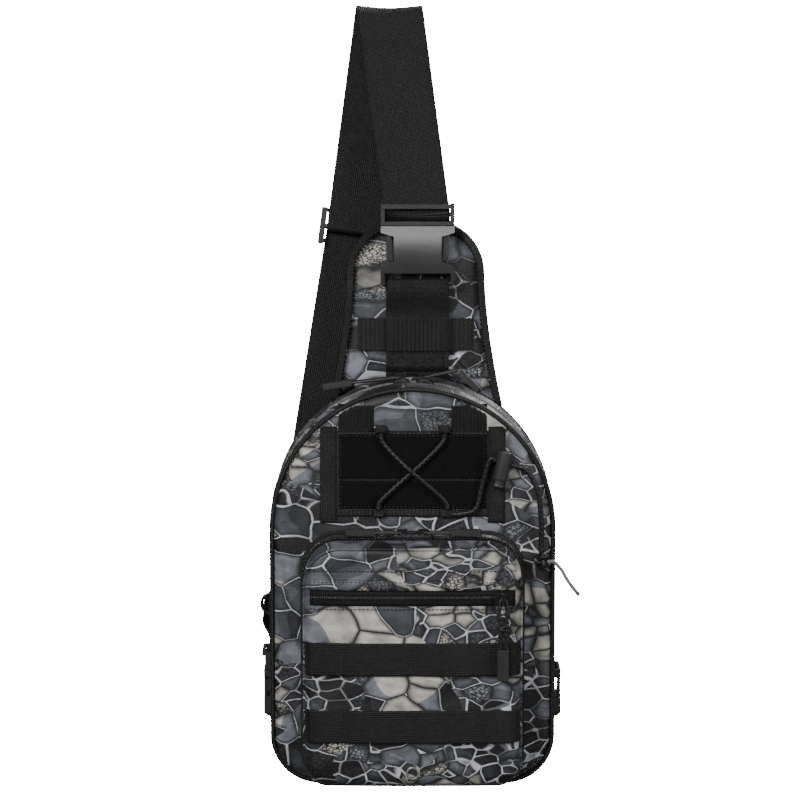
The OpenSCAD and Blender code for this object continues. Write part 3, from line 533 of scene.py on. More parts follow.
@dataclass(frozen=True)
class CamoFabric(Finish):
    """Coated 600-denier polyester, woven plain and printed: matt, with a print of hexagonal scales.

    The scales are cells in six greys, large_mm or small_mm across. In some zones a pale line runs between
    dark scales, in others a dark line between paler ones, and some scales carry a finer net. Bands of
    height are paler or darker: each band's tone, weighed by band_share, is added to a slow noise and
    band_mean is taken away again.
    """

    large_mm: float = 25.0
    small_mm: float = 12.5
    net_mm: float = 2.6
    thread_mm: float = 1.1
    band_share: float = 0.45
    band_mean: float = 0.11

    def scales(self, tree: bpy.types.NodeTree, at: bpy.types.NodeSocket, zone: bpy.types.NodeSocket,
               size: float) -> bpy.types.NodeSocket:
        """The print at one scale size.

        Args:
            tree: the material's node tree.
            at: where the print is read.
            zone: a slow noise from 0 to 1 that makes areas darker or paler.
            size: a scale's width in millimetres.

        Returns:
            The print's colour. Widths in millimetres are divided by size, as the cells' own unit.
        """
        setting = {"Vector": at, "Scale": 1000.0 / size, "Randomness": 0.78}
        cell = add_node(tree, "TexVoronoi", inputs=setting)
        rim = add_node(tree, "TexVoronoi", {"feature": "DISTANCE_TO_EDGE"}, setting).outputs["Distance"]
        chance = add_node(tree, "SeparateColor", inputs={"Color": cell.outputs["Color"]})
        spread = add_node(tree, "MapRange", inputs={"Value": zone, "From Min": 0.36, "From Max": 0.62,
                                                    "To Min": -0.3, "To Max": 0.36})
        pick = add_node(tree, "Math", {"operation": "ADD", "use_clamp": True},
                        {0: chance.outputs[0], 1: spread.outputs["Result"]}).outputs[0]
        fill = ramp(tree, pick, [(0.0, "#121315"), (0.2, "#26282c"), (0.38, "#3c3f45"), (0.55, "#54575d"),
                                 (0.72, "#6c6f77"), (0.92, "#aaa69f")], True)
        net = add_node(tree, "TexVoronoi", {"feature": "DISTANCE_TO_EDGE"},
                       {"Vector": at, "Scale": 1000.0 / self.net_mm}).outputs["Distance"]
        fine = ramp(tree, net, [(0.05, "#202123"), (0.17, "#ffffff")])
        netted = maths(tree, "GREATER_THAN", chance.outputs[1], 0.76)
        toned = mixed(tree, netted, fill, fine, "MULTIPLY")
        deep = ramp(tree, rim, [(0.5 / size, "#2b2b2b"), (1.1 / size, "#6e6e6e"), (3.2 / size, "#ffffff")])
        shaded = mixed(tree, 0.75, toned, deep, "MULTIPLY")
        line = ramp(tree, rim, [(0.45 / size, "#ffffff"), (0.8 / size, "#000000")])
        ink = ramp(tree, pick, [(0.0, "#5a5c60"), (0.16, "#a9abb0"), (0.56, "#b4b5b8"), (0.6, "#17181a")])
        return mixed(tree, line, shaded, ink)

    def pattern(self, tree: bpy.types.NodeTree, at: bpy.types.NodeSocket) -> tuple[Any, Any]:
        """Colour and height of the print and the weave at a place."""
        moved = at
        for scale, reach in ((14.0, 0.022), (60.0, 0.0065)):
            drift = add_node(tree, "TexNoise", inputs={"Vector": at, "Scale": scale, "Detail": 0.0})
            shift = add_node(tree, "VectorMath", {"operation": "SUBTRACT"},
                             {0: drift.outputs["Color"], 1: (0.5, 0.5, 0.5)})
            moved = add_node(tree, "VectorMath", {"operation": "MULTIPLY_ADD"},
                             {0: shift.outputs[0], 1: (reach, reach, reach), 2: moved}).outputs[0]
        laid = add_node(tree, "Mapping", inputs={"Vector": moved, "Scale": (0.8, 0.55, 1.2),
                                                 "Rotation": (0.0, 0.18, 0.0)}).outputs["Vector"]
        slow = noise(tree, at, 10.0, 1.5)
        height = add_node(tree, "SeparateXYZ", inputs={"Vector": at}).outputs["Z"]
        share = add_node(tree, "MapRange", inputs={"Value": height, "From Min": BAG.z,
                                                   "From Max": BAG.z + 0.45})
        band = ramp(tree, share.outputs["Result"], [(0.0, "#727272"), (0.16, "#787878"), (0.26, "#d0d0d0"),
                                                    (0.33, "#c8c8c8"), (0.36, "#808080"), (0.55, "#6e6e6e"),
                                                    (0.7, "#808080"), (1.0, "#8c8c8c")])
        zone = maths(tree, "MULTIPLY_ADD", band, self.band_share, slow)
        zone = maths(tree, "SUBTRACT", zone, self.band_mean)
        small = maths(tree, "GREATER_THAN", noise(tree, laid, 13.0, 0.0), 0.53)
        both = mixed(tree, small, self.scales(tree, laid, zone, self.large_mm),
                     self.scales(tree, laid, zone, self.small_mm))
        worn = ramp(tree, noise(tree, laid, 110.0, 6.0), [(0.3, "#747474"), (0.68, "#ffffff")])
        printed = mixed(tree, 0.7, both, worn, "MULTIPLY")
        warp, weft = (waves(tree, at, way, self.thread_mm, Distortion=0.6) for way in "XZ")
        return printed, maths(tree, "MULTIPLY", warp, weft)


@dataclass(frozen=True)
class Woven(Finish):
    """Woven tape: ribs along it at rib_mm, crossed by weft at weft_mm, with the odd paler thread."""

    rib_mm: float = 1.5
    weft_mm: float = 1.0

    def pattern(self, tree: bpy.types.NodeTree, at: bpy.types.NodeSocket) -> tuple[Any, Any]:
        """Colour and height of the weave at a place."""
        second = "Y" if self.follow is Follow.CLOTH else "Z"
        rib = waves(tree, at, "X", self.rib_mm, Distortion=0.35, Detail=1.0)
        weft = waves(tree, at, second, self.weft_mm, Distortion=0.5, Detail=1.0)
        height = maths(tree, "MULTIPLY_ADD", rib, 1.2, weft)
        shadow = add_node(tree, "MapRange", inputs={"Value": height, "From Max": 2.2,
                                                    "To Min": 0.1, "To Max": 0.62})
        tone = maths(tree, "MULTIPLY_ADD", noise(tree, at, 30.0, 5.0), 0.55, shadow.outputs["Result"])
        return ramp(tree, tone, [(0.3, self.shade), (0.85, self.tone)]), height


@dataclass(frozen=True)
class LoopPile(Finish):
    """The soft half of touch fastener: a mat of fine nylon loops that swallows light."""

    def pattern(self, tree: bpy.types.NodeTree, at: bpy.types.NodeSocket) -> tuple[Any, Any]:
        """Colour and height of the loops at a place."""
        tuft = add_node(tree, "TexVoronoi", inputs={"Vector": at, "Scale": 1000.0 / self.grain_mm})
        both = maths(tree, "ADD", tuft.outputs["Distance"], noise(tree, at, 420.0, 6.0))
        return ramp(tree, both, [(0.5, self.tone), (1.1, self.shade)]), both


@dataclass(frozen=True)
class SpacerMesh(Finish):
    """Knitted spacer mesh: round holes hole_mm apart, painted darker towards their middles as painted shade
    in the holes.
    """

    hole_mm: float = 3.2

    def pattern(self, tree: bpy.types.NodeTree, at: bpy.types.NodeSocket) -> tuple[Any, Any]:
        """Colour and height of the mesh at a place."""
        hole = add_node(tree, "TexVoronoi", inputs={"Vector": at, "Scale": 1000.0 / self.hole_mm,
                                                    "Randomness": 0.25}).outputs["Distance"]
        # The holes' sunken middles take the shade colour: painted shade inside the holes.
        return ramp(tree, hole, [(0.2, self.shade), (0.42, self.tone)]), hole


@dataclass(frozen=True)
class Braid(Finish):
    """Braided sleeve of a cord: two sets of strands wound opposite ways, strand_mm apart along it, with
    painted shade where the strands dip.
    """

    strand_mm: float = 2.2

    def pattern(self, tree: bpy.types.NodeTree, at: bpy.types.NodeSocket) -> tuple[Any, Any]:
        """Colour and height of the braid at a place."""
        flip = add_node(tree, "Mapping", inputs={"Vector": at, "Scale": (-1.0, 1.0, 1.0)}).outputs["Vector"]
        one, two = (waves(tree, place, "DIAGONAL", self.strand_mm) for place in (at, flip))
        top = maths(tree, "MAXIMUM", one, two)
        # The colour follows the strands' height, so the low places between them are darker: painted shade.
        return ramp(tree, top, [(0.2, self.shade), (0.9, self.tone)]), top


CAMO = CamoFabric("camo_coated_polyester", "camo_fabric", "#4b4e55", "#17181a", 0.52, bump=0.1, sheen=0.03,
                  specular=0.35)
LINING = Finish("coated_polyester_lining", "camo_fabric", "#1b1c1e", "#131415", 0.55, grain_mm=0.9)
WEBBING = Woven("nylon_webbing", "webbing", "#191918", "#080808", 0.5, bump=0.16, sheen=0.02, specular=0.16,
                follow=Follow.CLOTH)
TAB_WEB = Woven("nylon_webbing_tab", "webbing", "#191918", "#090909", 0.52, bump=0.16, sheen=0.02,
                specular=0.18)
RIBBED = Woven("ribbed_nylon_webbing", "webbing", "#1b1b1a", "#070707", 0.5, bump=0.3, sheen=0.02,
               specular=0.2, follow=Follow.CLOTH, rib_mm=2.6, weft_mm=0.7)
PLEATED = Woven("pleated_nylon_webbing", "webbing", "#1f1f1e", "#060606", 0.5, bump=0.15, sheen=0.02,
                specular=0.2, follow=Follow.CLOTH, rib_mm=0.7, weft_mm=3.4)
BINDING = Woven("grosgrain_binding", "binding", "#171716", "#080808", 0.5, bump=0.2, sheen=0.02,
                specular=0.2, follow=Follow.CLOTH, rib_mm=3.0, weft_mm=1.3)
ZIP_TAPE = Woven("woven_zip_tape", "zip_tape", "#101010", "#060606", 0.65, bump=0.12, specular=0.15,
                 rib_mm=1.2, weft_mm=1.2)
ZIP_COIL = Finish("nylon_zip_coil", "zip_tape", "#8a8a87", "#4a4a49", 0.3, grain_mm=0.8)
DARK_COIL = Finish("dark_nylon_zip_coil", "zip_tape", "#1c1c1c", "#101010", 0.35, grain_mm=0.8)
LOOPS = LoopPile("nylon_loop_pile", "loop_fleece", "#101010", "#060606", 0.95, grain_mm=0.9, bump=0.5,
                 specular=0.15)
PLASTIC = Finish("moulded_acetal", "buckle_plastic", "#2b2b2c", "#252526", 0.3, grain_mm=0.35, bump=0.008,
                 specular=0.6)
METAL = Finish("lacquered_zinc", "slider_metal", "#262627", "#1c1c1d", 0.3, 0.6, grain_mm=0.5, bump=0.01,
               coat=0.4)
RING = Finish("lacquered_steel_wire", "ring_metal", "#3a3a3c", "#2c2c2e", 0.34, 0.7, grain_mm=0.6, bump=0.01)
EYELET = Finish("rolled_eyelet_brass", "eyelet_metal", "#9a978c", "#6e6c64", 0.3, 0.5, grain_mm=0.7,
                bump=0.01)
CORD = Braid("braided_elastic_cord", "cord", "#151516", "#060606", 0.45, bump=0.2, sheen=0.02,
             specular=0.3, follow=Follow.CLOTH)
CORD_PLAIN = Finish("pull_cord", "cord", "#18181a", "#0c0c0d", 0.5, grain_mm=0.9, bump=0.12, sheen=0.02)
THIN = Finish("grey_cord", "thin_cord", "#5c5d5f", "#3a3b3d", 0.5, grain_mm=1.1, bump=0.1, sheen=0.05)
RUBBER = Finish("moulded_soft_pvc", "pull_rubber", "#151516", "#0e0e0f", 0.34, grain_mm=0.5, bump=0.02)
SPACER = SpacerMesh("knitted_spacer_mesh", "mesh_padding", "#262627", "#0a0a0a", 0.85, bump=0.6, sheen=0.2)
THREAD = Finish("bonded_nylon_thread", "webbing", "#1c1c1c", "#0e0e0e", 0.5, grain_mm=0.5, specular=0.3)


def dress(obj: bpy.types.Object, body: str, finish: Finish, nodes: Sequence[str] = (),
          inside: Optional[Finish] = None) -> bpy.types.Object:
    """Gives a piece its finish and its body, and hides the CAD nodes that it stands for.

    Args:
        obj: the piece.
        body: the CAD body that it rides on.
        finish: its finish.
        nodes: the CAD nodes that it replaces.
        inside: a second finish, used by its inner wall.

    Returns:
        The same piece.
    """
    obj.data.materials.clear()
    obj.data.materials.append(finish.material())
    if inside:
        obj.data.materials.append(inside.material())
    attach(obj, body)
    if nodes:
        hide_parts(*nodes)
    log.info("%s rides on %s, %d faces", obj.name, body, len(obj.data.polygons))
    return obj


def walled(obj: bpy.types.Object, thick: float) -> bpy.types.Object:
    """Gives a shell its cloth thickness inwards, with the inner wall in its second finish."""
    wall = obj.modifiers.new("wall", "SOLIDIFY")
    wall.thickness, wall.offset = thick * 0.001, -1
    wall.material_offset = 1
    return obj


@dataclass(frozen=True)
class Tip:
    """The far end of a part, which has a finish of its own: beyond reach millimetres from start.

    lift is how far the part's free length is raised, in millimetres.
    """

    start: tuple[float, float, float]
    reach: float
    finish: Finish
    lift: float = 0.0


def crowned(work: bmesh.types.BMesh, rise: float) -> None:
    """Bows a part's front outwards between its ends, by rise * (1 - t^2) millimetres.

    Args:
        work: the part, which is sliced across every 2 mm first.
        rise: the height of the bow; t runs from -1 at the front's lower end to 1 at its upper end.
    """
    least = min(v.co.y for v in work.verts) + 0.0003
    heights = [v.co.z for v in work.verts if v.co.y < least]
    low, high = min(heights), max(heights)
    for z in np.arange(low + 0.001, high, 0.002):
        bmesh.ops.bisect_plane(work, geom=work.verts[:] + work.edges[:] + work.faces[:],
                               plane_co=(0, 0, z), plane_no=(0, 0, 1), dist=0.00001)
    for v in work.verts:
        if v.co.y < least:
            v.co.y -= rise * 0.001 * (1 - ((2 * v.co.z - low - high) / (high - low)) ** 2)


def moulded(node: str, body: str, finish: Finish, edge: float = 0.5,
            tip: Optional[Tip] = None, rise: float = 0.0) -> bpy.types.Object:
    """A hard part with softened edges, made from a merged copy of its CAD node.

    Args:
        node: the CAD node.
        body: its body.
        finish: its finish.
        edge: the bevel's width in millimetres.
        tip: where a second finish starts.
        rise: how far its front bows outwards.

    Returns:
        The piece.
    """
    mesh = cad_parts[node].data.copy()
    work = bmesh.new()
    work.from_mesh(mesh)
    bmesh.ops.remove_doubles(work, verts=work.verts, dist=0.00001)
    bmesh.ops.dissolve_limit(work, angle_limit=0.02, verts=work.verts, edges=work.edges)
    if rise:
        crowned(work, rise)
    work.to_mesh(mesh)
    work.free()
    shade_smooth(mesh)
    if tip:
        spots = read_array(mesh.vertices, "co")
        out = np.linalg.norm(spots - BAG.place(tip.start), axis=1) * 1000
        spots[:, 2] += tip.lift * 0.001 * ease((out - 4) / 12)
        mesh.vertices.foreach_set("co", spots.ravel())
        away = np.linalg.norm(read_array(mesh.polygons, "center") - BAG.place(tip.start), axis=1)
        mesh.polygons.foreach_set("material_index", (away > tip.reach * 0.001).astype(np.int32))
    obj = linked(node + "_moulded", mesh)
    bevel = obj.modifiers.new("edge", "BEVEL")
    bevel.width, bevel.segments, bevel.limit_method = edge * 0.001, 2, "ANGLE"
    bevel.angle_limit = math.radians(32)
    obj.modifiers.new("shading", "WEIGHTED_NORMAL")
    return dress(obj, body, finish, [node], tip.finish if tip else None)


# ---- Sub-assemblies --------------------------------------------------------------------------


def rounding(depth: np.ndarray, radius: float) -> np.ndarray:
    """How far a rounded edge falls away at a depth inside it: r - sqrt(r^2 - (r - d)^2)."""
    rest = radius - np.clip(depth, 0, radius)
    return radius - np.sqrt(np.maximum(radius ** 2 - rest ** 2, 0))


@dataclass(frozen=True)
class Panel:
    """An upright outline with straight sides and round corners: a full arch where r_top is half_w."""

    half_w: float
    z0: float
    z1: float
    r_base: float
    r_top: float

    def inside(self, x: np.ndarray, z: np.ndarray) -> np.ndarray:
        """How far a point lies inside the outline: the corner's radius less the distance to its centre."""
        side = np.abs(x)
        depth = np.minimum(self.half_w - side, np.minimum(self.z1 - z, z - self.z0))
        top_x, top_z = self.half_w - self.r_top, self.z1 - self.r_top
        low_x, low_z = self.half_w - self.r_base, self.z0 + self.r_base
        depth = np.where((side > top_x) & (z > top_z), self.r_top - np.hypot(side - top_x, z - top_z), depth)
        return np.where((side > low_x) & (z < low_z), self.r_base - np.hypot(side - low_x, z - low_z), depth)

    def line(self, count: int = 256) -> tuple[np.ndarray, np.ndarray]:
        """The outline's points (x, z) and outward normals, from the base's middle to the right and up."""
        def corner(cx: float, cz: float, r: float, a: float) -> np.ndarray:
            """A quarter circle round (cx, cz) that starts at a degrees."""
            turn = np.radians(np.linspace(a, a + 90, 40))
            return np.stack([cx + r * np.cos(turn), cz + r * np.sin(turn)], 1)

        hw, rb, rt = self.half_w, self.r_base, self.r_top
        ring = np.concatenate([[[0, self.z0]], corner(hw - rb, self.z0 + rb, rb, -90),
                               corner(hw - rt, self.z1 - rt, rt, 0), corner(rt - hw, self.z1 - rt, rt, 90),
                               corner(rb - hw, self.z0 + rb, rb, 180), [[0, self.z0]]])
        points = resample(ring, count + 1)[:-1]
        step = np.roll(points, -1, 0) - np.roll(points, 1, 0)
        return points, unit(np.stack([step[:, 1], -step[:, 0]], 1))

    def ring(self, grow: Any = 0.0, count: int = 256) -> np.ndarray:
        """The outline moved outwards by grow."""
        points, normals = self.line(count)
        return points + normals * np.broadcast_to(np.asarray(grow, float), (count,))[:, None]

    def arch(self, above: float, grow: float = 0.0, count: int = 512) -> tuple[np.ndarray, np.ndarray]:
        """The part of the outline above a height, and its normals."""
        points, normals = self.line(count)
        keep = points[:, 1] >= above
        return points[keep] + normals[keep] * grow, normals[keep]

    def base(self, below: float, grow: float = 0.0, count: int = 512) -> np.ndarray:
        """The part of the outline below a height, from the left to the right."""
        points, normals = self.line(count)
        points, normals = np.roll(points, count // 2, 0), np.roll(normals, count // 2, 0)
        keep = points[:, 1] <= below
        return points[keep] + normals[keep] * grow


def upright(flat: np.ndarray, y: Any) -> np.ndarray:
    """Adds y to points (x, z)."""
    return np.stack([flat[..., 0], np.broadcast_to(np.asarray(y, float), flat.shape[:-1]), flat[..., 1]], -1)


def gusset(panel: Panel, y0: Any, y1: Any, grow: Callable[[np.ndarray, float], np.ndarray],
           rows: int = 14) -> np.ndarray:
    """Rings of a panel's side wall from y0 to y1; grow gives how far each bellies out."""
    base = panel.line()[0]
    return np.stack([upright(panel.ring(grow(base[:, 1], t)), np.asarray(y0) + (np.asarray(y1) - y0) * t)
                     for t in np.linspace(0, 1, rows)])


def face_rings(edge: np.ndarray, middle: tuple[float, float], surface: Surface, rows: int = 40) -> np.ndarray:
    """Rings from an edge to a pole: middle + k (edge - middle), where k = 1 - u^1.8."""
    k = 1 - np.linspace(0.05, 0.995, rows) ** 1.8
    centre = np.array(middle)
    flat = centre + k[:, None, None] * (edge[None] - centre)
    return upright(flat, surface(flat[..., 0], flat[..., 1]))


def zip_side(name: str, body: str, line: np.ndarray, normals: np.ndarray, y: float, out: int,
             nodes: Sequence[str], coil: Finish, shift: float) -> None:
    """One half of a zip: its tape and its row of teeth.

    Args:
        name: the zip's name.
        body: the CAD body that it rides on.
        line: the zip's line as points (x, z).
        normals: the line's outward normals.
        y: where the two halves meet.
        out: -1 for the front half and 1 for the rear half.
        nodes: CAD nodes that it replaces.
        coil: the teeth's finish.
        shift: how far along the line its first tooth stands, so that the halves' teeth alternate.
    """
    rows = np.array([4.9, 3.6, 2.2, 1.0, 0.3]) * out + y
    lifts = (0.2, 0.7, 0.8, 0.8, 0.3)
    tape = np.stack([upright(line + normals * lift, row) for row, lift in zip(rows, lifts)])
    dress(walled(grid_object(name + "_tape", tape), 0.8), body, ZIP_TAPE, nodes)
    travel = along(line)
    stops = np.arange(2.0 + shift, travel[-1] - 2, 2.5)
    spots = np.stack([np.interp(stops, travel, line[:, k]) for k in (0, 1)], 1)
    away = unit(np.stack([np.interp(stops, travel, normals[:, k]) for k in (0, 1)], 1))
    teeth = scattered(name + "_teeth", upright(spots + away * 1.2, y + out * 0.9), np.array([0, 1.0, 0]),
                      upright(away, 0.0), (3.4, 1.15, 1.5))
    dress(teeth, body, coil)


@dataclass
class BagBody:
    """The main compartment: a rear half and a front half that meet at the main zip."""

    panel: Panel = Panel(107.0, 0.0, 304.0, 36.0, 107.0)
    zip_y: float = -43.0
    front: float = -85.0
    crown: float = 2.0
    front_r: float = 7.0
    back_r: float = 5.0
    zip_end: float = 128.0
    middle: tuple[float, float] = (0.0, 152.0)

    def front_y(self, x: np.ndarray, z: np.ndarray) -> np.ndarray:
        """The front panel: y = front - crown (1 - (x/w)^2)(1 - ((z-152)/152)^2) + rounding + creases."""
        depth = self.panel.inside(x, z)
        swell = (1 - (x / self.panel.half_w) ** 2) * (1 - ((z - 152) / 152) ** 2)
        crease = 0.55 * ripple(x, z, 11, 42.0) * ease(depth / 14)
        return self.front - self.crown * np.maximum(swell, 0) + rounding(depth, self.front_r) + crease

    def back_y(self, x: np.ndarray, z: np.ndarray) -> np.ndarray:
        """The back panel, flat with a rounded edge."""
        return -rounding(self.panel.inside(x, z), self.back_r)

    def belly(self, seed: int) -> Callable[[np.ndarray, float], np.ndarray]:
        """How far a side wall bellies out: more over the arch than at the base, with soft puckers."""
        def grow(z: np.ndarray, t: float) -> np.ndarray:
            """How far the wall stands out at heights z, a share t of the way across it."""
            around = np.arange(len(z)) * 3.1
            lift = 0.7 + 1.6 * ease((z - 130) / 80)
            return math.sin(math.pi * t) * (lift + 0.5 * ripple(around, np.full(len(z), t * 40), seed, 30.0))
        return grow

    def shells(self) -> None:
        """The two cloth shells, each from the zip round its edge to the middle of its panel."""
        edge = self.panel.ring()
        rim = self.front_y(edge[:, 0], edge[:, 1])
        wall = gusset(self.panel, self.zip_y - 0.3, rim, self.belly(5))
        face = face_rings(edge, self.middle, self.front_y)
        obj = grid_object("front_shell", np.concatenate([wall, face]), True, (False, True))
        dress(walled(obj, 2.2), "front_half", CAMO, ["front_panel", "front_gusset"], LINING)
        wall = gusset(self.panel, self.zip_y + 0.3, self.back_y(edge[:, 0], edge[:, 1]), self.belly(9))
        face = face_rings(edge, self.middle, self.back_y)
        obj = grid_object("rear_shell", np.concatenate([wall, face]), True, (False, True))
        dress(walled(obj, 2.2), "bag_back", CAMO, ["back_panel", "rear_gusset"], LINING)

    def gore(self) -> None:
        """The fold of cloth below the zip's ends, which joins the halves."""
        line = self.panel.base(self.zip_end + 1, 0.5)
        rows = np.linspace(7.0, -7.0, 11)
        points = np.stack([upright(line, self.zip_y + r) for r in rows])
        obj = walled(grid_object("base_gore", points), 0.9)
        dress(obj, "front_half", CAMO, (), LINING)
        obj.parent = None
        low, high = BAG.place([0, self.zip_y + 6, 60]), BAG.place([0, self.zip_y - 6, 60])
        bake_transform(obj)

    def edging(self) -> None:
        """Bound seams round the two panels, and the zip between them."""
        line, normals = self.panel.line(300)
        flat = line + normals * 0.5
        front = tube("front_binding", upright(flat, self.front + 3.6), upright(normals, 0.0), 3.9, 5.2, True)
        dress(front, "front_half", BINDING, ["front_piping"])
        rear = tube("rear_binding", upright(flat, -3.4), upright(normals, 0.0), 3.4, 4.6, True)
        dress(rear, "bag_back", BINDING, ["rear_piping"])
        line, normals = self.panel.arch(self.zip_end)
        zip_side("rear_zip", "bag_back", line, normals, self.zip_y, 1, ["rear_zip_tape"], ZIP_COIL, 0.0)
        zip_side("front_zip", "front_half", line, normals, self.zip_y, -1, ["front_zip_tape"], ZIP_COIL,
                 1.25)
        for side, where in ((-1, "left"), (1, "right")):
            moulded(f"main_slider_{where}", f"main_slider_{where}", METAL, 0.4)
            start = (side * 9.0, self.zip_y, 309.0)
            reach = 38.0 if side < 0 else 27.5
            moulded(f"main_pull_{where}", f"main_pull_{where}", CORD_PLAIN, 0.5,
                    Tip(start, reach, RUBBER, 1.9))

    def back_pad(self) -> None:
        """The mesh-covered foam against the wearer, swollen by simulation, then quilted across."""
        ring = self.panel.ring(-19.0, 200)
        k = np.concatenate([np.linspace(0.02, 0.86, 9), [0.93, 0.975, 1.0]])
        high = 3.6 * np.sqrt(1 - k ** 8) + 0.6
        centre = np.array(self.middle)
        flat = centre + k[:, None, None] * (ring[None] - centre)
        outer = upright(flat, high[:, None])
        inner = upright(flat, -0.2)
        obj = grid_object("back_pad", np.concatenate([inner, outer[::-1]]), True, (True, True))
        inflate(obj, 0.0022)
        spots = read_array(obj.data.vertices, "co")
        z = (spots[:, 2] - BAG.z) * 1000
        y = (spots[:, 1] - BAG.y) * 1000
        groove = sum(np.exp(-((z - level) / 2.6) ** 2) for level in (78.0, 146.0, 214.0))
        spots[:, 1] -= np.where(y > 1.0, 0.0017 * np.clip(groove, 0, 1), 0)
        obj.data.vertices.foreach_set("co", spots.ravel())
        dress(obj, "bag_back", SPACER, ["back_padding"])

    def side_fittings(self) -> None:
        """Buckles, tabs and the ring on the bag's sides."""
        strip = ribbon("side_strip", resample([[108.3, -63, 84], [108.3, -63, 118]], 12), REARWARD, 28, 1.9)
        dress(strip, "front_half", WEBBING, ["side_webbing"])
        for node, body, finish, edge in (("left_tab", "bag_back", TAB_WEB, 0.4),
                                         ("right_tab", "bag_back", TAB_WEB, 0.4),
                                         ("left_receptacle", "bag_back", PLASTIC, 0.7),
                                         ("right_receptacle", "right_buckle", PLASTIC, 0.7),
                                         ("d_ring_tab", "bag_back", TAB_WEB, 0.3),
                                         ("d_ring", "d_ring", RING, 0.3)):
            moulded(node, body, finish, edge)

    def build(self) -> None:
        """Makes every piece of the main compartment."""
        self.shells()
        self.gore()
        self.edging()
        self.back_pad()
        self.side_fittings()


@dataclass
class Yoke:
    """The padded shoulder piece over the arch, with its webbing and binding."""

    x: float = 2.7
    half: float = 48.5
    flare: float = 16.0
    low: float = 274.0
    knee: float = 386.0
    corner: float = 36.0
    thick: float = 11.0

    def side(self, way: int, grow: float) -> np.ndarray:
        """One side edge, from the arch up: half + flare ((knee - z) / (knee - low))^1.6."""
        z = np.linspace(self.low, self.knee, 60)
        x = self.x + way * (grow + self.half + self.flare * ((self.knee - z) / (self.knee - self.low)) ** 1.6)
        edge = np.stack([x, z], 1)
        return edge[np.hypot(x, z - 197.0) > 108.0]

    def edge(self, grow: float) -> np.ndarray:
        """The side and top edge from the arch's right to its left."""
        turn = np.radians(np.linspace(0, 90, 24))
        r = self.corner + grow
        c, s = r * np.cos(turn), r * np.sin(turn)
        right = np.stack([self.x + self.half - self.corner + c, self.knee + s], 1)
        left = np.stack([self.x - self.half + self.corner - s, self.knee + c], 1)
        return np.concatenate([self.side(1, grow), right, left, self.side(-1, grow)[::-1]])

    def pad(self) -> None:
        """The foam pad, y = -t/2 -+ h sqrt(1 - k^7), swollen by simulation."""
        edge = self.edge(1.0)
        ends = [math.atan2(edge[k, 1] - 197, edge[k, 0]) for k in (-1, 0)]
        turn = np.linspace(ends[0], ends[1], 40)
        arch = np.stack([108.2 * np.cos(turn), 197 + 108.2 * np.sin(turn)], 1)
        ring = resample(np.concatenate([edge, arch[1:]]), 181)[:-1]
        centre = np.array([self.x, 356.0])
        k = np.concatenate([np.linspace(0.02, 0.88, 9), [0.94, 0.975, 1.0]])
        flat = centre + k[:, None, None] * (ring[None] - centre)
        high = 4.3 * np.sqrt(1 - k ** 7)[:, None]
        front, back = upright(flat, -5.6 - high), upright(flat, -5.6 + high * 0.9)
        obj = grid_object("yoke_pad", np.concatenate([front, back[::-1][1:]]), True, (True, True))
        inflate(obj, 0.0018)
        dress(obj, "bag_back", CAMO, ["shoulder_yoke"])

    def trim(self) -> None:
        """Binding round the pad's edge, and the webbing that holds the buckle."""
        line = resample(self.edge(2.3), 220)
        band = ribbon("yoke_edge", upright(line, -5.5), REARWARD, 13.0, 5.6)
        dress(band, "bag_back", BINDING, ["yoke_binding"])
        turn = np.radians(np.arange(0, 181, 20))
        loop = np.stack([np.full(10, 4.0), -19 + 3.05 * np.cos(turn), 379 + 3.05 * np.sin(turn)], 1)
        path = np.concatenate([[[4, -11.9, 302], [4, -12.0, 336], [4, -12.4, 356], [4, -14.4, 369]], loop,
                               [[4, -20.6, 371], [4, -16.8, 361], [4, -14.4, 352], [4, -13.9, 336],
                                [4, -13.6, 310]]])
        dress(ribbon("yoke_webbing", smooth(path, 4), (1.0, 0, 0), 49.0, 1.5), "bag_back", WEBBING,
              ["yoke_center_webbing"])
        x = np.linspace(-42.6, 48.0, 280)
        y = -12.4 - 3.3 * ease((29.0 - np.abs(x - 4)) / 7)
        y -= 0.32 * np.sin(x * 2 * math.pi / 3.4) * ease((27.0 - np.abs(x - 2)) / 3)
        cross = ribbon("yoke_cross", np.stack([x, y, np.full(280, 338.5)], 1), UPWARD, 25.0, 1.7)
        dress(cross, "bag_back", PLEATED, ["yoke_cross_webbing"])
        box = resample([[-16, 308], [24, 308], [24, 324], [-16, 324], [-16, 308], [24, 324], [24, 308],
                        [-16, 324]], 400)
        dress(stitches("yoke_box_stitch", upright(box, -14.5), FORWARD, 2.8), "bag_back", THREAD)
        for k, edge_x in enumerate((-40.5, 46.0)):
            line = resample([[edge_x, -13.5, 327], [edge_x, -13.5, 350]], 20)
            dress(stitches(f"yoke_tack_{k}", line, FORWARD, 2.6), "bag_back", THREAD)
        seam = resample(self.edge(-0.9), 400)
        dress(stitches("yoke_edge_stitch", upright(seam, -11.3), FORWARD, 3.2), "bag_back", THREAD)

    def build(self) -> None:
        """Makes every piece of the yoke."""
        self.pad()
        self.trim()
        moulded("big_receptacle", "bag_back", PLASTIC, 0.9, rise=3.0)


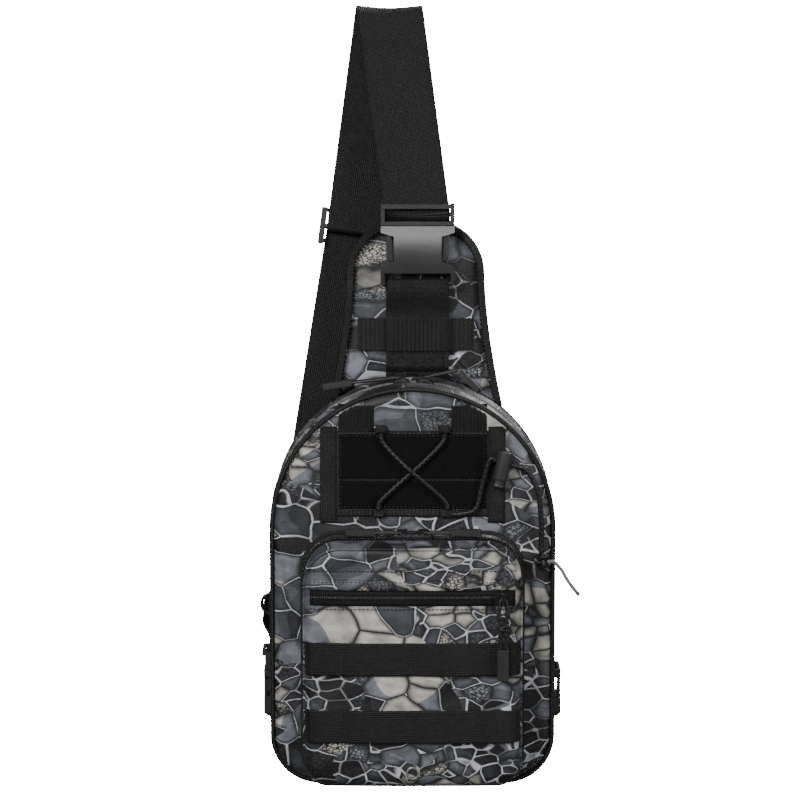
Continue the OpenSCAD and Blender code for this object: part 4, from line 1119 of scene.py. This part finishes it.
@dataclass
class UpperPanel:
    """What is sewn on the front panel over the pocket: loop field, strips, lacing and cord lock."""

    body: BagBody
    loop_half: float = 56.7
    cord_d: float = 4.0
    cord_y: float = -90.6
    lean: float = 13.5

    def fleece(self) -> None:
        """The loop field in two pieces with a seam between, between webbing strips and ribbed ends."""
        seat = self.body.front_y
        under = patch("loop_field_ground", (-60.0, 60.0), (206.5, 274.0), seat, 0.8)
        dress(under, "front_half", BINDING)
        low = patch("loop_field_low", (-self.loop_half, self.loop_half), (213, 235.8), seat, 2.0)
        dress(low, "front_half", LOOPS)
        cut = lambda x, z: (328.0 - np.abs(x) - z) * 0.7
        high = patch("loop_field_high", (-self.loop_half, self.loop_half), (236.0, 271.7), seat, 2.0, cut)
        dress(high, "front_half", LOOPS, ["loop_field"])
        keep = lambda x, z: self.body.panel.inside(x, z) - 2.0
        for way, where in ((-1, "left"), (1, "right")):
            for name, near, far, z, finish, node in (
                    ("panel_strip", 57.0, 71.0, (202, 277), WEBBING, "panel_strips"),
                    ("ribbed", 29.0, 56.9, (272, 293), RIBBED, "ribbed_webbing")):
                low_x, high_x = sorted((way * near, way * far))
                piece = patch(f"{name}_{where}", (low_x, high_x), z, seat, 1.7, keep)
                dress(piece, "front_half", finish, [node] if way < 0 else ())
        line = resample([[-54.5, 215], [54.5, 215], [54.5, 269.7], [-54.5, 269.7], [-54.5, 215]], 300)
        path = upright(line, seat(line[:, 0], line[:, 1]) - 2.0)
        dress(stitches("loop_field_stitch", path, FORWARD, 3.0), "front_half", THREAD)

    def leg(self, way: int, lift: float) -> np.ndarray:
        """One leg of the crossed lacing."""
        y = self.cord_y
        return smooth([[-way * 24, y, 271.8], [-way * 24, y, 268.5], [-way * 21, y - 0.2, 263],
                       [-way * 8.4, y - lift * 0.7, 250], [0, y - lift, 242.5],
                       [way * 9.1, y - lift * 0.7, 234.5], [way * 22.6, y - 0.2, 222],
                       [way * 26, y, 216.8], [way * 26, y, 213.4]], 5)

    def lock_side(self, way: int) -> np.ndarray:
        """Where the cord enters (-1) or leaves (1) the cord lock's barrel."""
        a = math.radians(self.lean)
        foot = np.array([66.0, -92.65, 237.0])
        return (foot + np.array([math.sin(a), 0, math.cos(a)]) * 13.0
                + np.array([math.cos(a), 0, -math.sin(a)]) * way * 5.75)

    def cords(self) -> None:
        """The free end of the elastic cord with its knot and thin tail."""
        start = self.lock_side(1)
        route = smooth(np.concatenate([[start, start + [5.8, 0, -1.4]], [[87, -94, 244], [95, -94, 228],
                       [98, -93, 205], [98, -92, 189], [98, -92, 183.5], [98, -92, 179.5]]]), 6)
        free = rope("free_cord_sleeve", route, self.cord_d)
        dress(free, "front_half", CORD, ["free_cord"])
        knot = self.knot(np.array([98.0, -92.0, 174.0]))
        tuple(BAG.place(start))
        BAG.place(route).tolist()
        tail = smooth([[102.5, -92, 173.8], [105, -92, 173.5], [108, -92, 173], [113, -93, 168],
                       [119, -94, 158], [127, -95, 148]], 6)
        thin = rope("thin_tail_cord", tail, 2.9)
        dress(thin, "front_half", THIN, ["thin_tail"])
        tuple(BAG.place(tail[0]))
        BAG.place(tail).tolist()

    def knot(self, centre: np.ndarray) -> bpy.types.Object:
        """An overhand knot: a trefoil r (sin t + 2 sin 2t, sin 3t, cos t - 2 cos 2t), pulled tight."""
        t = np.linspace(0, 2 * math.pi, 90, endpoint=False)
        line = np.stack([np.sin(t) + 2 * np.sin(2 * t), 1.1 * np.sin(3 * t),
                         np.cos(t) - 2 * np.cos(2 * t)], 1)
        path = centre + line * np.array([1.55, 1.7, 1.65])
        obj = tube("cord_knot_tied", path, (0, 1.0, 0.3), 4.2, 4.2, True)
        return dress(obj, "front_half", CORD, ["cord_knot"])

    def lacing(self) -> None:
        """The crossed elastic cord, its loops and its lead to the cord lock."""
        dress(rope("lacing_under", self.leg(-1, 0.0), self.cord_d), "front_half", CORD, ["elastic_cord_b"])
        dress(rope("lacing_over", self.leg(1, 4.1), self.cord_d), "front_half", CORD, ["elastic_cord_a"])
        entry = self.lock_side(-1)
        lead = smooth([[29, -90.4, 210], [36, -90.4, 210], [48, -90.6, 214], [52.5, -91.0, 231],
                       entry + [-5, 0, 1.2], entry], 6)
        dress(rope("lacing_lead", lead, self.cord_d), "front_half", CORD)
        moulded("cord_anchors", "front_half", TAB_WEB, 1.4)
        moulded("cord_lock_barrel", "front_half", PLASTIC, 1.3)
        moulded("cord_lock_plunger", "cord_lock_plunger", PLASTIC, 0.5)

    def build(self) -> None:
        """Makes every piece of the upper panel but the free cord."""
        self.fleece()
        self.lacing()


@dataclass
class FrontPocket:
    """The zipped front pocket with its face zip, webbing rows and drain eyelet."""

    body: BagBody
    panel: Panel = Panel(82.0, 6.0, 193.0, 18.0, 27.0)
    zip_y: float = -105.0
    face: float = -128.2
    edge_r: float = 8.0
    zip_end: float = 26.0
    middle: tuple[float, float] = (0.0, 99.5)

    def face_y(self, x: np.ndarray, z: np.ndarray) -> np.ndarray:
        """The pocket's face: y = face + 4 |x/w|^3 + 1.5 ((z-99.5)/93.5)^4 + rounding + creases."""
        depth = self.panel.inside(x, z)
        bow = 4.0 * np.abs(x / self.panel.half_w) ** 3 + 1.5 * ((z - 99.5) / 93.5) ** 4
        crease = 0.45 * ripple(x, z, 23, 38.0) * ease(depth / 12)
        return self.face + bow + rounding(depth, self.edge_r) + crease

    def shells(self) -> None:
        """The pocket's cloth: a side wall on the bag, and the front with its sloped top."""
        line, normals = self.panel.line()
        puff = self.body.belly(15)
        rear = gusset(self.panel, -83.0, self.zip_y + 0.2, lambda z, t: 0.5 * puff(z, t), 10)
        dress(walled(grid_object("pocket_rear_wall", rear, True), 2.0), "front_half", CAMO,
              ["pocket_rear_gusset"], LINING)
        slope = 4.0 * ease((line[:, 1] - 155) / 38)
        edge = self.panel.ring(-slope)
        rim = self.face_y(edge[:, 0], edge[:, 1])
        wall = gusset(self.panel, self.zip_y - 0.2, rim, lambda z, t: 0.4 * puff(z, t) - slope * t ** 1.5, 12)
        front = face_rings(edge, self.middle, self.face_y, 44)
        obj = grid_object("pocket_shell", np.concatenate([wall, front]), True, (False, True))
        dress(walled(obj, 2.0), "pocket_front", CAMO, ["pocket_face", "pocket_front_gusset"], LINING)
        seam = edge + normals * 0.2
        piping = tube("pocket_edge", upright(seam, rim - 0.5), upright(normals, 0.0), 2.2, 2.6, True)
        dress(piping, "pocket_front", CAMO, ["pocket_piping"])
        foot = self.panel.ring(1.4)
        flange = tube("pocket_flange", upright(foot, self.body.front_y(foot[:, 0], foot[:, 1]) - 1.0),
                      upright(normals, 0.0), 4.8, 3.4, True)
        dress(flange, "front_half", BINDING, ["pocket_binding"])
        line = self.panel.base(self.zip_end + 1, 0.4)
        fold = np.stack([upright(line, self.zip_y + r) for r in np.linspace(5.5, -5.5, 9)])
        gore = walled(grid_object("pocket_gore", fold), 0.8)
        dress(gore, "pocket_front", CAMO, (), LINING)
        gore.parent = None
        tuple(BAG.place([0, self.zip_y + 5, 20]))
        tuple(BAG.place([0, self.zip_y - 5, 20]))
        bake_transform(gore)

    def zips(self) -> None:
        """The zip round the pocket and the straight zip across its face, with sliders and pulls."""
        line, normals = self.panel.arch(self.zip_end)
        zip_side("pocket_rear_zip", "front_half", line, normals, self.zip_y, 1, (), DARK_COIL, 0.0)
        zip_side("pocket_front_zip", "pocket_front", line, normals, self.zip_y, -1, (), DARK_COIL, 1.25)
        for side, where in ((-1, "left"), (1, "right")):
            moulded(f"pocket_slider_{where}", f"pocket_slider_{where}", METAL, 0.4)
            moulded(f"pocket_pull_{where}", f"pocket_pull_{where}", CORD_PLAIN, 0.5,
                    Tip((side * 8.0, self.zip_y, 198.4), 20.0, RUBBER))
        band = patch("face_zip_band", (-78, 78), (145.6, 158.4), self.face_y, 1.1)
        dress(band, "pocket_front", ZIP_TAPE, ["face_zip"])
        x = np.arange(-76, 76, 1.6)
        y = self.face_y(x, np.full(len(x), 152.0)) - 1.3
        teeth = scattered("face_zip_teeth", np.stack([x, y, np.full(len(x), 152.0)], 1), np.array(UPWARD),
                          np.array(FORWARD), (4.2, 1.0, 0.9))
        dress(teeth, "pocket_front", DARK_COIL)
        moulded("face_slider", "face_slider", METAL, 0.4)
        moulded("face_pull", "face_pull", CORD_PLAIN, 0.5, Tip((68.0, -133.4, 152.0), 38.0, RUBBER))
        turn = np.linspace(0, 2 * math.pi, 32, endpoint=False)
        for k, side in enumerate((-1, 1)):
            strand = smooth([[68 + side * 2.4, -133.4, 148.0], [68 + side * 3.6, -134.0, 140],
                             [68, -134.2, 130.5], [68 - side * 2.3, -134.2, 122],
                             [68 - side * 1.4, -134.0, 114.5]], 5)
            dress(rope(f"face_pull_strand_{k}", strand, 2.6), "face_pull", CORD)
            ring = np.stack([68 + 3.2 * np.cos(turn), -134.2 + 2.1 * np.sin(turn),
                             130.5 + side * (1.1 + 0.9 * np.cos(turn))], 1)
            dress(tube(f"face_pull_knot_{k}", ring, UPWARD, 2.4, 2.4, True), "face_pull", CORD)
        hem = patch("face_hem", (-79.5, 79.5), (157.4, 166.5), self.face_y, 2.0)
        dress(hem, "pocket_front", CAMO, ["pocket_hem"])
        for k, (z, lift) in enumerate(((164.6, 1.9), (172.5, 0.1), (143.5, 0.1))):
            x = np.linspace(-77, 77, 200)
            path = np.stack([x, self.face_y(x, np.full(200, z)) - lift, np.full(200, z)], 1)
            dress(stitches(f"face_stitch_{k}", path, FORWARD, 3.0), "pocket_front", THREAD)

    def webbing(self) -> None:
        """Two rows of webbing tacked at even steps, and the drain eyelet."""
        for k, low in enumerate((41.0, 93.0)):
            x = np.linspace(-81.0, 81.0, 160)
            seat = self.face_y(x, np.full(160, low + 12.5))
            puff = 1.3 * np.sqrt(np.abs(np.sin(math.pi * x / 52.0))) * (np.abs(x) < 78)
            row = ribbon(f"webbing_row_{k}", np.stack([x, seat - 1.1 - puff, np.full(160, low + 12.5)], 1),
                         UPWARD, 25.0, 1.6)
            dress(row, "pocket_front", WEBBING, ["webbing_rows"] if k == 0 else ())
            for j, at in enumerate((-78.5, -52.0, 0.0, 52.0, 78.5)):
                for i, step in enumerate((-1.6, 1.6)):
                    y = float(self.face_y(np.array([at]), np.array([low + 12.5]))[0]) - 2.0
                    line = resample([[at + step, y, low + 1.5], [at + step, y, low + 23.5]], 20)
                    dress(stitches(f"tack_{k}_{j}_{i}", line, FORWARD, 1.9), "pocket_front", THREAD)
        y = float(self.face_y(np.array([0.0]), np.array([17.0]))[0])
        turn = np.linspace(0, 2 * math.pi, 48, endpoint=False)
        circle = np.stack([4.3 * np.cos(turn), np.full(48, y - 0.5), 17 + 4.3 * np.sin(turn)], 1)
        away = np.stack([np.cos(turn), np.zeros(48), np.sin(turn)], 1)
        rim = tube("eyelet_rim", circle, away, 1.9, 1.5, True)
        dress(rim, "pocket_front", EYELET, ["drain_eyelet"])
        # A shallow dark cup in the loop-pile finish closes the eyelet's hole: a dark piece that stands for
        # painted shade inside the hole.
        depth = np.array([0.4, 0.9, 0.95, 1.0])[:, None, None]
        bore = np.array([0, y + 0.6, 17]) + (circle - np.array([0, y - 0.5, 17]))[None] * depth * 0.72
        bore[2:, :, 1] -= np.array([0.6, 1.0])[:, None]
        dress(grid_object("eyelet_bore", bore, True, (True, False)), "pocket_front", LOOPS)

    def build(self) -> None:
        """Makes every piece of the front pocket."""
        self.shells()
        self.zips()
        self.webbing()


@dataclass
class Strap:
    """The shoulder strap: up from the plug, over the fold, down behind to the slider and small plug."""

    width: float = 50.0
    thick: float = 1.5
    lean: float = 7.6
    fold_z: float = 575.0
    fold_y: float = -4.8
    fold_r: float = 14.2
    front_y: float = -19.0
    back_y: float = 9.4
    bar: tuple[float, float, float] = (4.0, -19.0, 432.5)
    slider_z: float = 418.0
    low_z: float = 165.0
    kink: float = 1.6

    def route(self, off: float, back: Sequence[float]) -> tuple[np.ndarray, np.ndarray]:
        """A layer's path and width direction, from just over the plug's bar to its last back height.

        Up the front x = bar_x - (z - bar_z) tan(lean); over the fold a screw line round its axis, so that
        the flat webbing isn't stretched; down the back the same lean again.
        """
        tan, s = math.tan(math.radians(self.lean)), math.sin(math.radians(self.lean))
        c = math.cos(math.radians(self.lean))
        z = np.linspace(self.bar[2] + 9, self.fold_z - 4, 24)
        front = np.stack([self.bar[0] - (z - self.bar[2]) * tan, np.full(24, self.front_y - off), z], 1)
        front[:, 1] += 0.35 * np.sin(z / 11.0) * ease((z - 448) / 30) * ease((560 - z) / 30)
        top = self.bar[0] - (self.fold_z - self.bar[2]) * tan
        a, r = np.radians(np.arange(0, 181, 12)), self.fold_r + off
        over = np.stack([top - self.fold_r * a * tan, self.fold_y - r * np.cos(a),
                         self.fold_z + r * np.sin(a)], 1)
        z = np.array(back, float)
        bend = np.maximum(0, self.slider_z - z) * (math.tan(math.radians(self.lean + self.kink)) - tan)
        last = top - math.pi * self.fold_r * tan - (self.fold_z - z) * tan - bend
        down = np.stack([last, np.full(len(z), self.back_y + off), z], 1)
        wide = np.concatenate([np.broadcast_to([c, 0, s], front.shape),
                               np.stack([np.full(len(a), c), -s * np.sin(a), s * np.cos(a)], 1),
                               np.broadcast_to([c, 0, -s], down.shape)])
        return np.concatenate([front, over, down]), wide

    def layers(self) -> None:
        """The outer layer round the plug's bar and down the back, and the shorter inner one."""
        path, wide = self.route(1.05, np.linspace(self.fold_z - 8, self.low_z, 60))
        turn = np.radians(np.arange(0, 181, 20))
        bar = np.array(self.bar)
        under = bar + 3.05 * np.stack([np.zeros(10), np.cos(turn), -1.5 * np.sin(turn)], 1)
        path = np.concatenate([under, path])
        wide = np.concatenate([np.broadcast_to([1.0, 0, 0], under.shape), wide])
        outer = ribbon("strap_outer", path, wide, self.width, self.thick)
        dress(outer, "strap", WEBBING, ["strap_outer_layer"])
        path, wide = self.route(-1.05, np.linspace(self.fold_z - 8, 486, 14))
        start = bar + np.array([0, 3.05, 0.3])
        path, wide = np.concatenate([[start], path]), np.concatenate([[[1.0, 0, 0]], wide])
        inner = ribbon("strap_inner", path, wide, self.width, self.thick)
        dress(inner, "strap", WEBBING, ["strap_inner_layer"])

    def tail(self) -> None:
        """The narrow webbing round the bag's rear edge to the small plug."""
        tan = math.tan(math.radians(self.lean))
        low = -20.97 - (self.fold_z - self.low_z) * tan
        low -= (self.slider_z - self.low_z) * (math.tan(math.radians(self.lean + self.kink)) - tan)
        y, bar = self.back_y + 1.05 + 1.65, np.array([-112.1, -21.5, 85.5])
        points = np.concatenate([[[low + 3.5, y, 189], [low - 0.4, y, 165], [low - 7, y - 0.5, 145],
                                  [-108, 8, 123], [-113.5, -5, 108], [-111.5, -18.5, 96],
                                  bar + [-3.05, 0, 1]]])
        turn = np.array([0, 0, 12, 45, 75, 88, 90], float)[:, None]
        a = np.radians(np.arange(20, 181, 20))
        round_bar = bar + 3.05 * np.stack([-np.cos(a), np.zeros(9), -np.sin(a)], 1)
        path = np.concatenate([smooth(points, 6), round_bar, [bar + [3.05, 0, 6]]])
        angle = np.radians(np.concatenate([smooth(turn, 6)[:, 0], np.full(10, 90.0)]))
        wide = np.stack([np.cos(angle), np.sin(angle), -0.12 * np.cos(angle)], 1)
        dress(ribbon("strap_tail_web", path, wide, 24.0, 1.5), "strap", WEBBING, ["strap_tail"])

    def slider(self) -> None:
        """The three-bar slider and the webbing loop on its middle bar."""
        a = math.radians(self.lean)
        turn = np.radians(np.arange(180, 361, 20))
        z = np.concatenate([[76, 58, 40, 20, 8], 3.05 * np.sin(turn), [4]])
        y = np.concatenate([[5.3, 5.3, 5.3, 4.3, 2.45], 5.5 + 3.05 * np.cos(turn), [8.55]])
        path = np.stack([-41.92 + z * math.sin(a), y, self.slider_z + z * math.cos(a)], 1)
        loop = ribbon("slider_loop_web", path, (math.cos(a), 0, -math.sin(a)), self.width, self.thick)
        dress(loop, "strap_slider", WEBBING, ["slider_loop"])
        moulded("strap_slider", "strap_slider", PLASTIC, 0.7)

    def build(self) -> None:
        """Makes every piece of the strap."""
        self.layers()
        self.tail()
        self.slider()
        for node, body in (("big_plug", "strap"), ("small_plug", "strap"), ("plug_prongs_left", "prong_left"),
                           ("plug_prongs_right", "prong_right")):
            moulded(node, body, PLASTIC, 0.6)


# ---- Studio ----------------------------------------------------------------------------------


@dataclass
class Studio:
    """A pale floor, soft lights and the camera."""

    target: tuple[float, float, float] = (-9.6, -60.0, 293.4)
    distance: float = 2.505
    elevation: float = 8.0
    lens: float = 147.0

    @staticmethod
    def turn(obj: bpy.types.Object, back: Vector) -> None:
        """Turns a camera or lamp to look against the direction back."""
        obj.rotation_mode = "QUATERNION"
        obj.rotation_quaternion = (-back).to_track_quat("-Z", "Y")

    def camera(self) -> None:
        """Stands the camera in front of the bag, a little above its middle."""
        made = linked("camera", bpy.data.cameras.new("camera"))
        a = math.radians(self.elevation)
        aim = Vector(BAG.place(self.target))
        back = Vector((0, -math.cos(a), math.sin(a)))
        made.location = aim + back * self.distance
        self.turn(made, back)
        made.data.lens, made.data.sensor_width = self.lens, 36.0
        made.data.clip_start, made.data.clip_end = 0.05, 300.0
        bpy.context.scene.camera = made

    def lamp(self, name: str, place: tuple[float, float, float], size: float, power: float) -> None:
        """A square soft light that faces the bag."""
        made = linked(name, bpy.data.lights.new(name, "AREA"))
        made.data.size, made.data.energy = size, power
        made.location = Vector(BAG.place([0, -60, 290])) + Vector(place)
        self.turn(made, Vector(place))

    def floor(self) -> None:
        """The pale floor, below the hanging bag."""
        side = 120.0
        mesh = bpy.data.meshes.new("floor")
        z = BAG.z - 0.32
        corners = [(-side, -side, z), (side, -side, z), (side, side, z), (-side, side, z)]
        mesh.from_pydata(corners, [], [(0, 1, 2, 3)])
        floor = linked("floor", mesh)
        made = bpy.data.materials.new("pale_floor")
        made.use_nodes = True
        shader = made.node_tree.nodes["Principled BSDF"]
        for socket, value in (("Base Color", (0.93, 0.93, 0.93, 1)), ("Roughness", 0.9),
                              ("Specular IOR Level", 0.0), ("Emission Color", (1, 1, 1, 1)),
                              ("Emission Strength", SKY_SEEN)):
            shader.inputs[socket].default_value = value
        mesh.materials.append(made)
        floor.visible_diffuse = floor.visible_glossy = False

    def lights(self) -> None:
        """Three soft lights in front, one behind, and a pale sky."""
        world = bpy.data.worlds.new("studio")
        bpy.context.scene.world = world
        world.use_nodes = True
        tree = world.node_tree
        seen = add_node(tree, "LightPath").outputs["Is Camera Ray"]
        power = add_node(tree, "MapRange", inputs={"Value": seen, "To Min": SKY_LIGHT, "To Max": SKY_SEEN})
        sky = tree.nodes["Background"]
        sky.inputs["Color"].default_value = (1, 1, 1, 1)
        tree.links.new(power.outputs["Result"], sky.inputs["Strength"])
        self.lamp("key", (-1.2, -2.1, 1.35), 0.9, 90.0)
        self.lamp("fill", (1.9, -1.6, 0.5), 1.0, 34.0)
        self.lamp("front", (0.0, -3.0, 1.05), 0.9, 30.0)
        self.lamp("rim", (1.0, 1.6, 1.6), 1.2, 60.0)

    def build(self) -> None:
        """Sets the studio up."""
        self.lights()
        self.floor()


def main() -> None:
    """Builds the camera and cords, then every sub-assembly."""
    logging.basicConfig(level=logging.INFO, format="%(message)s")
    studio = Studio()
    studio.camera()
    body = BagBody()
    upper = UpperPanel(body)
    upper.cords()
    for part in (body, Yoke(), upper, FrontPocket(body), Strap(), studio):
        log.info("building %s", type(part).__name__)
        part.build()


if __name__ == "__main__":
    main()
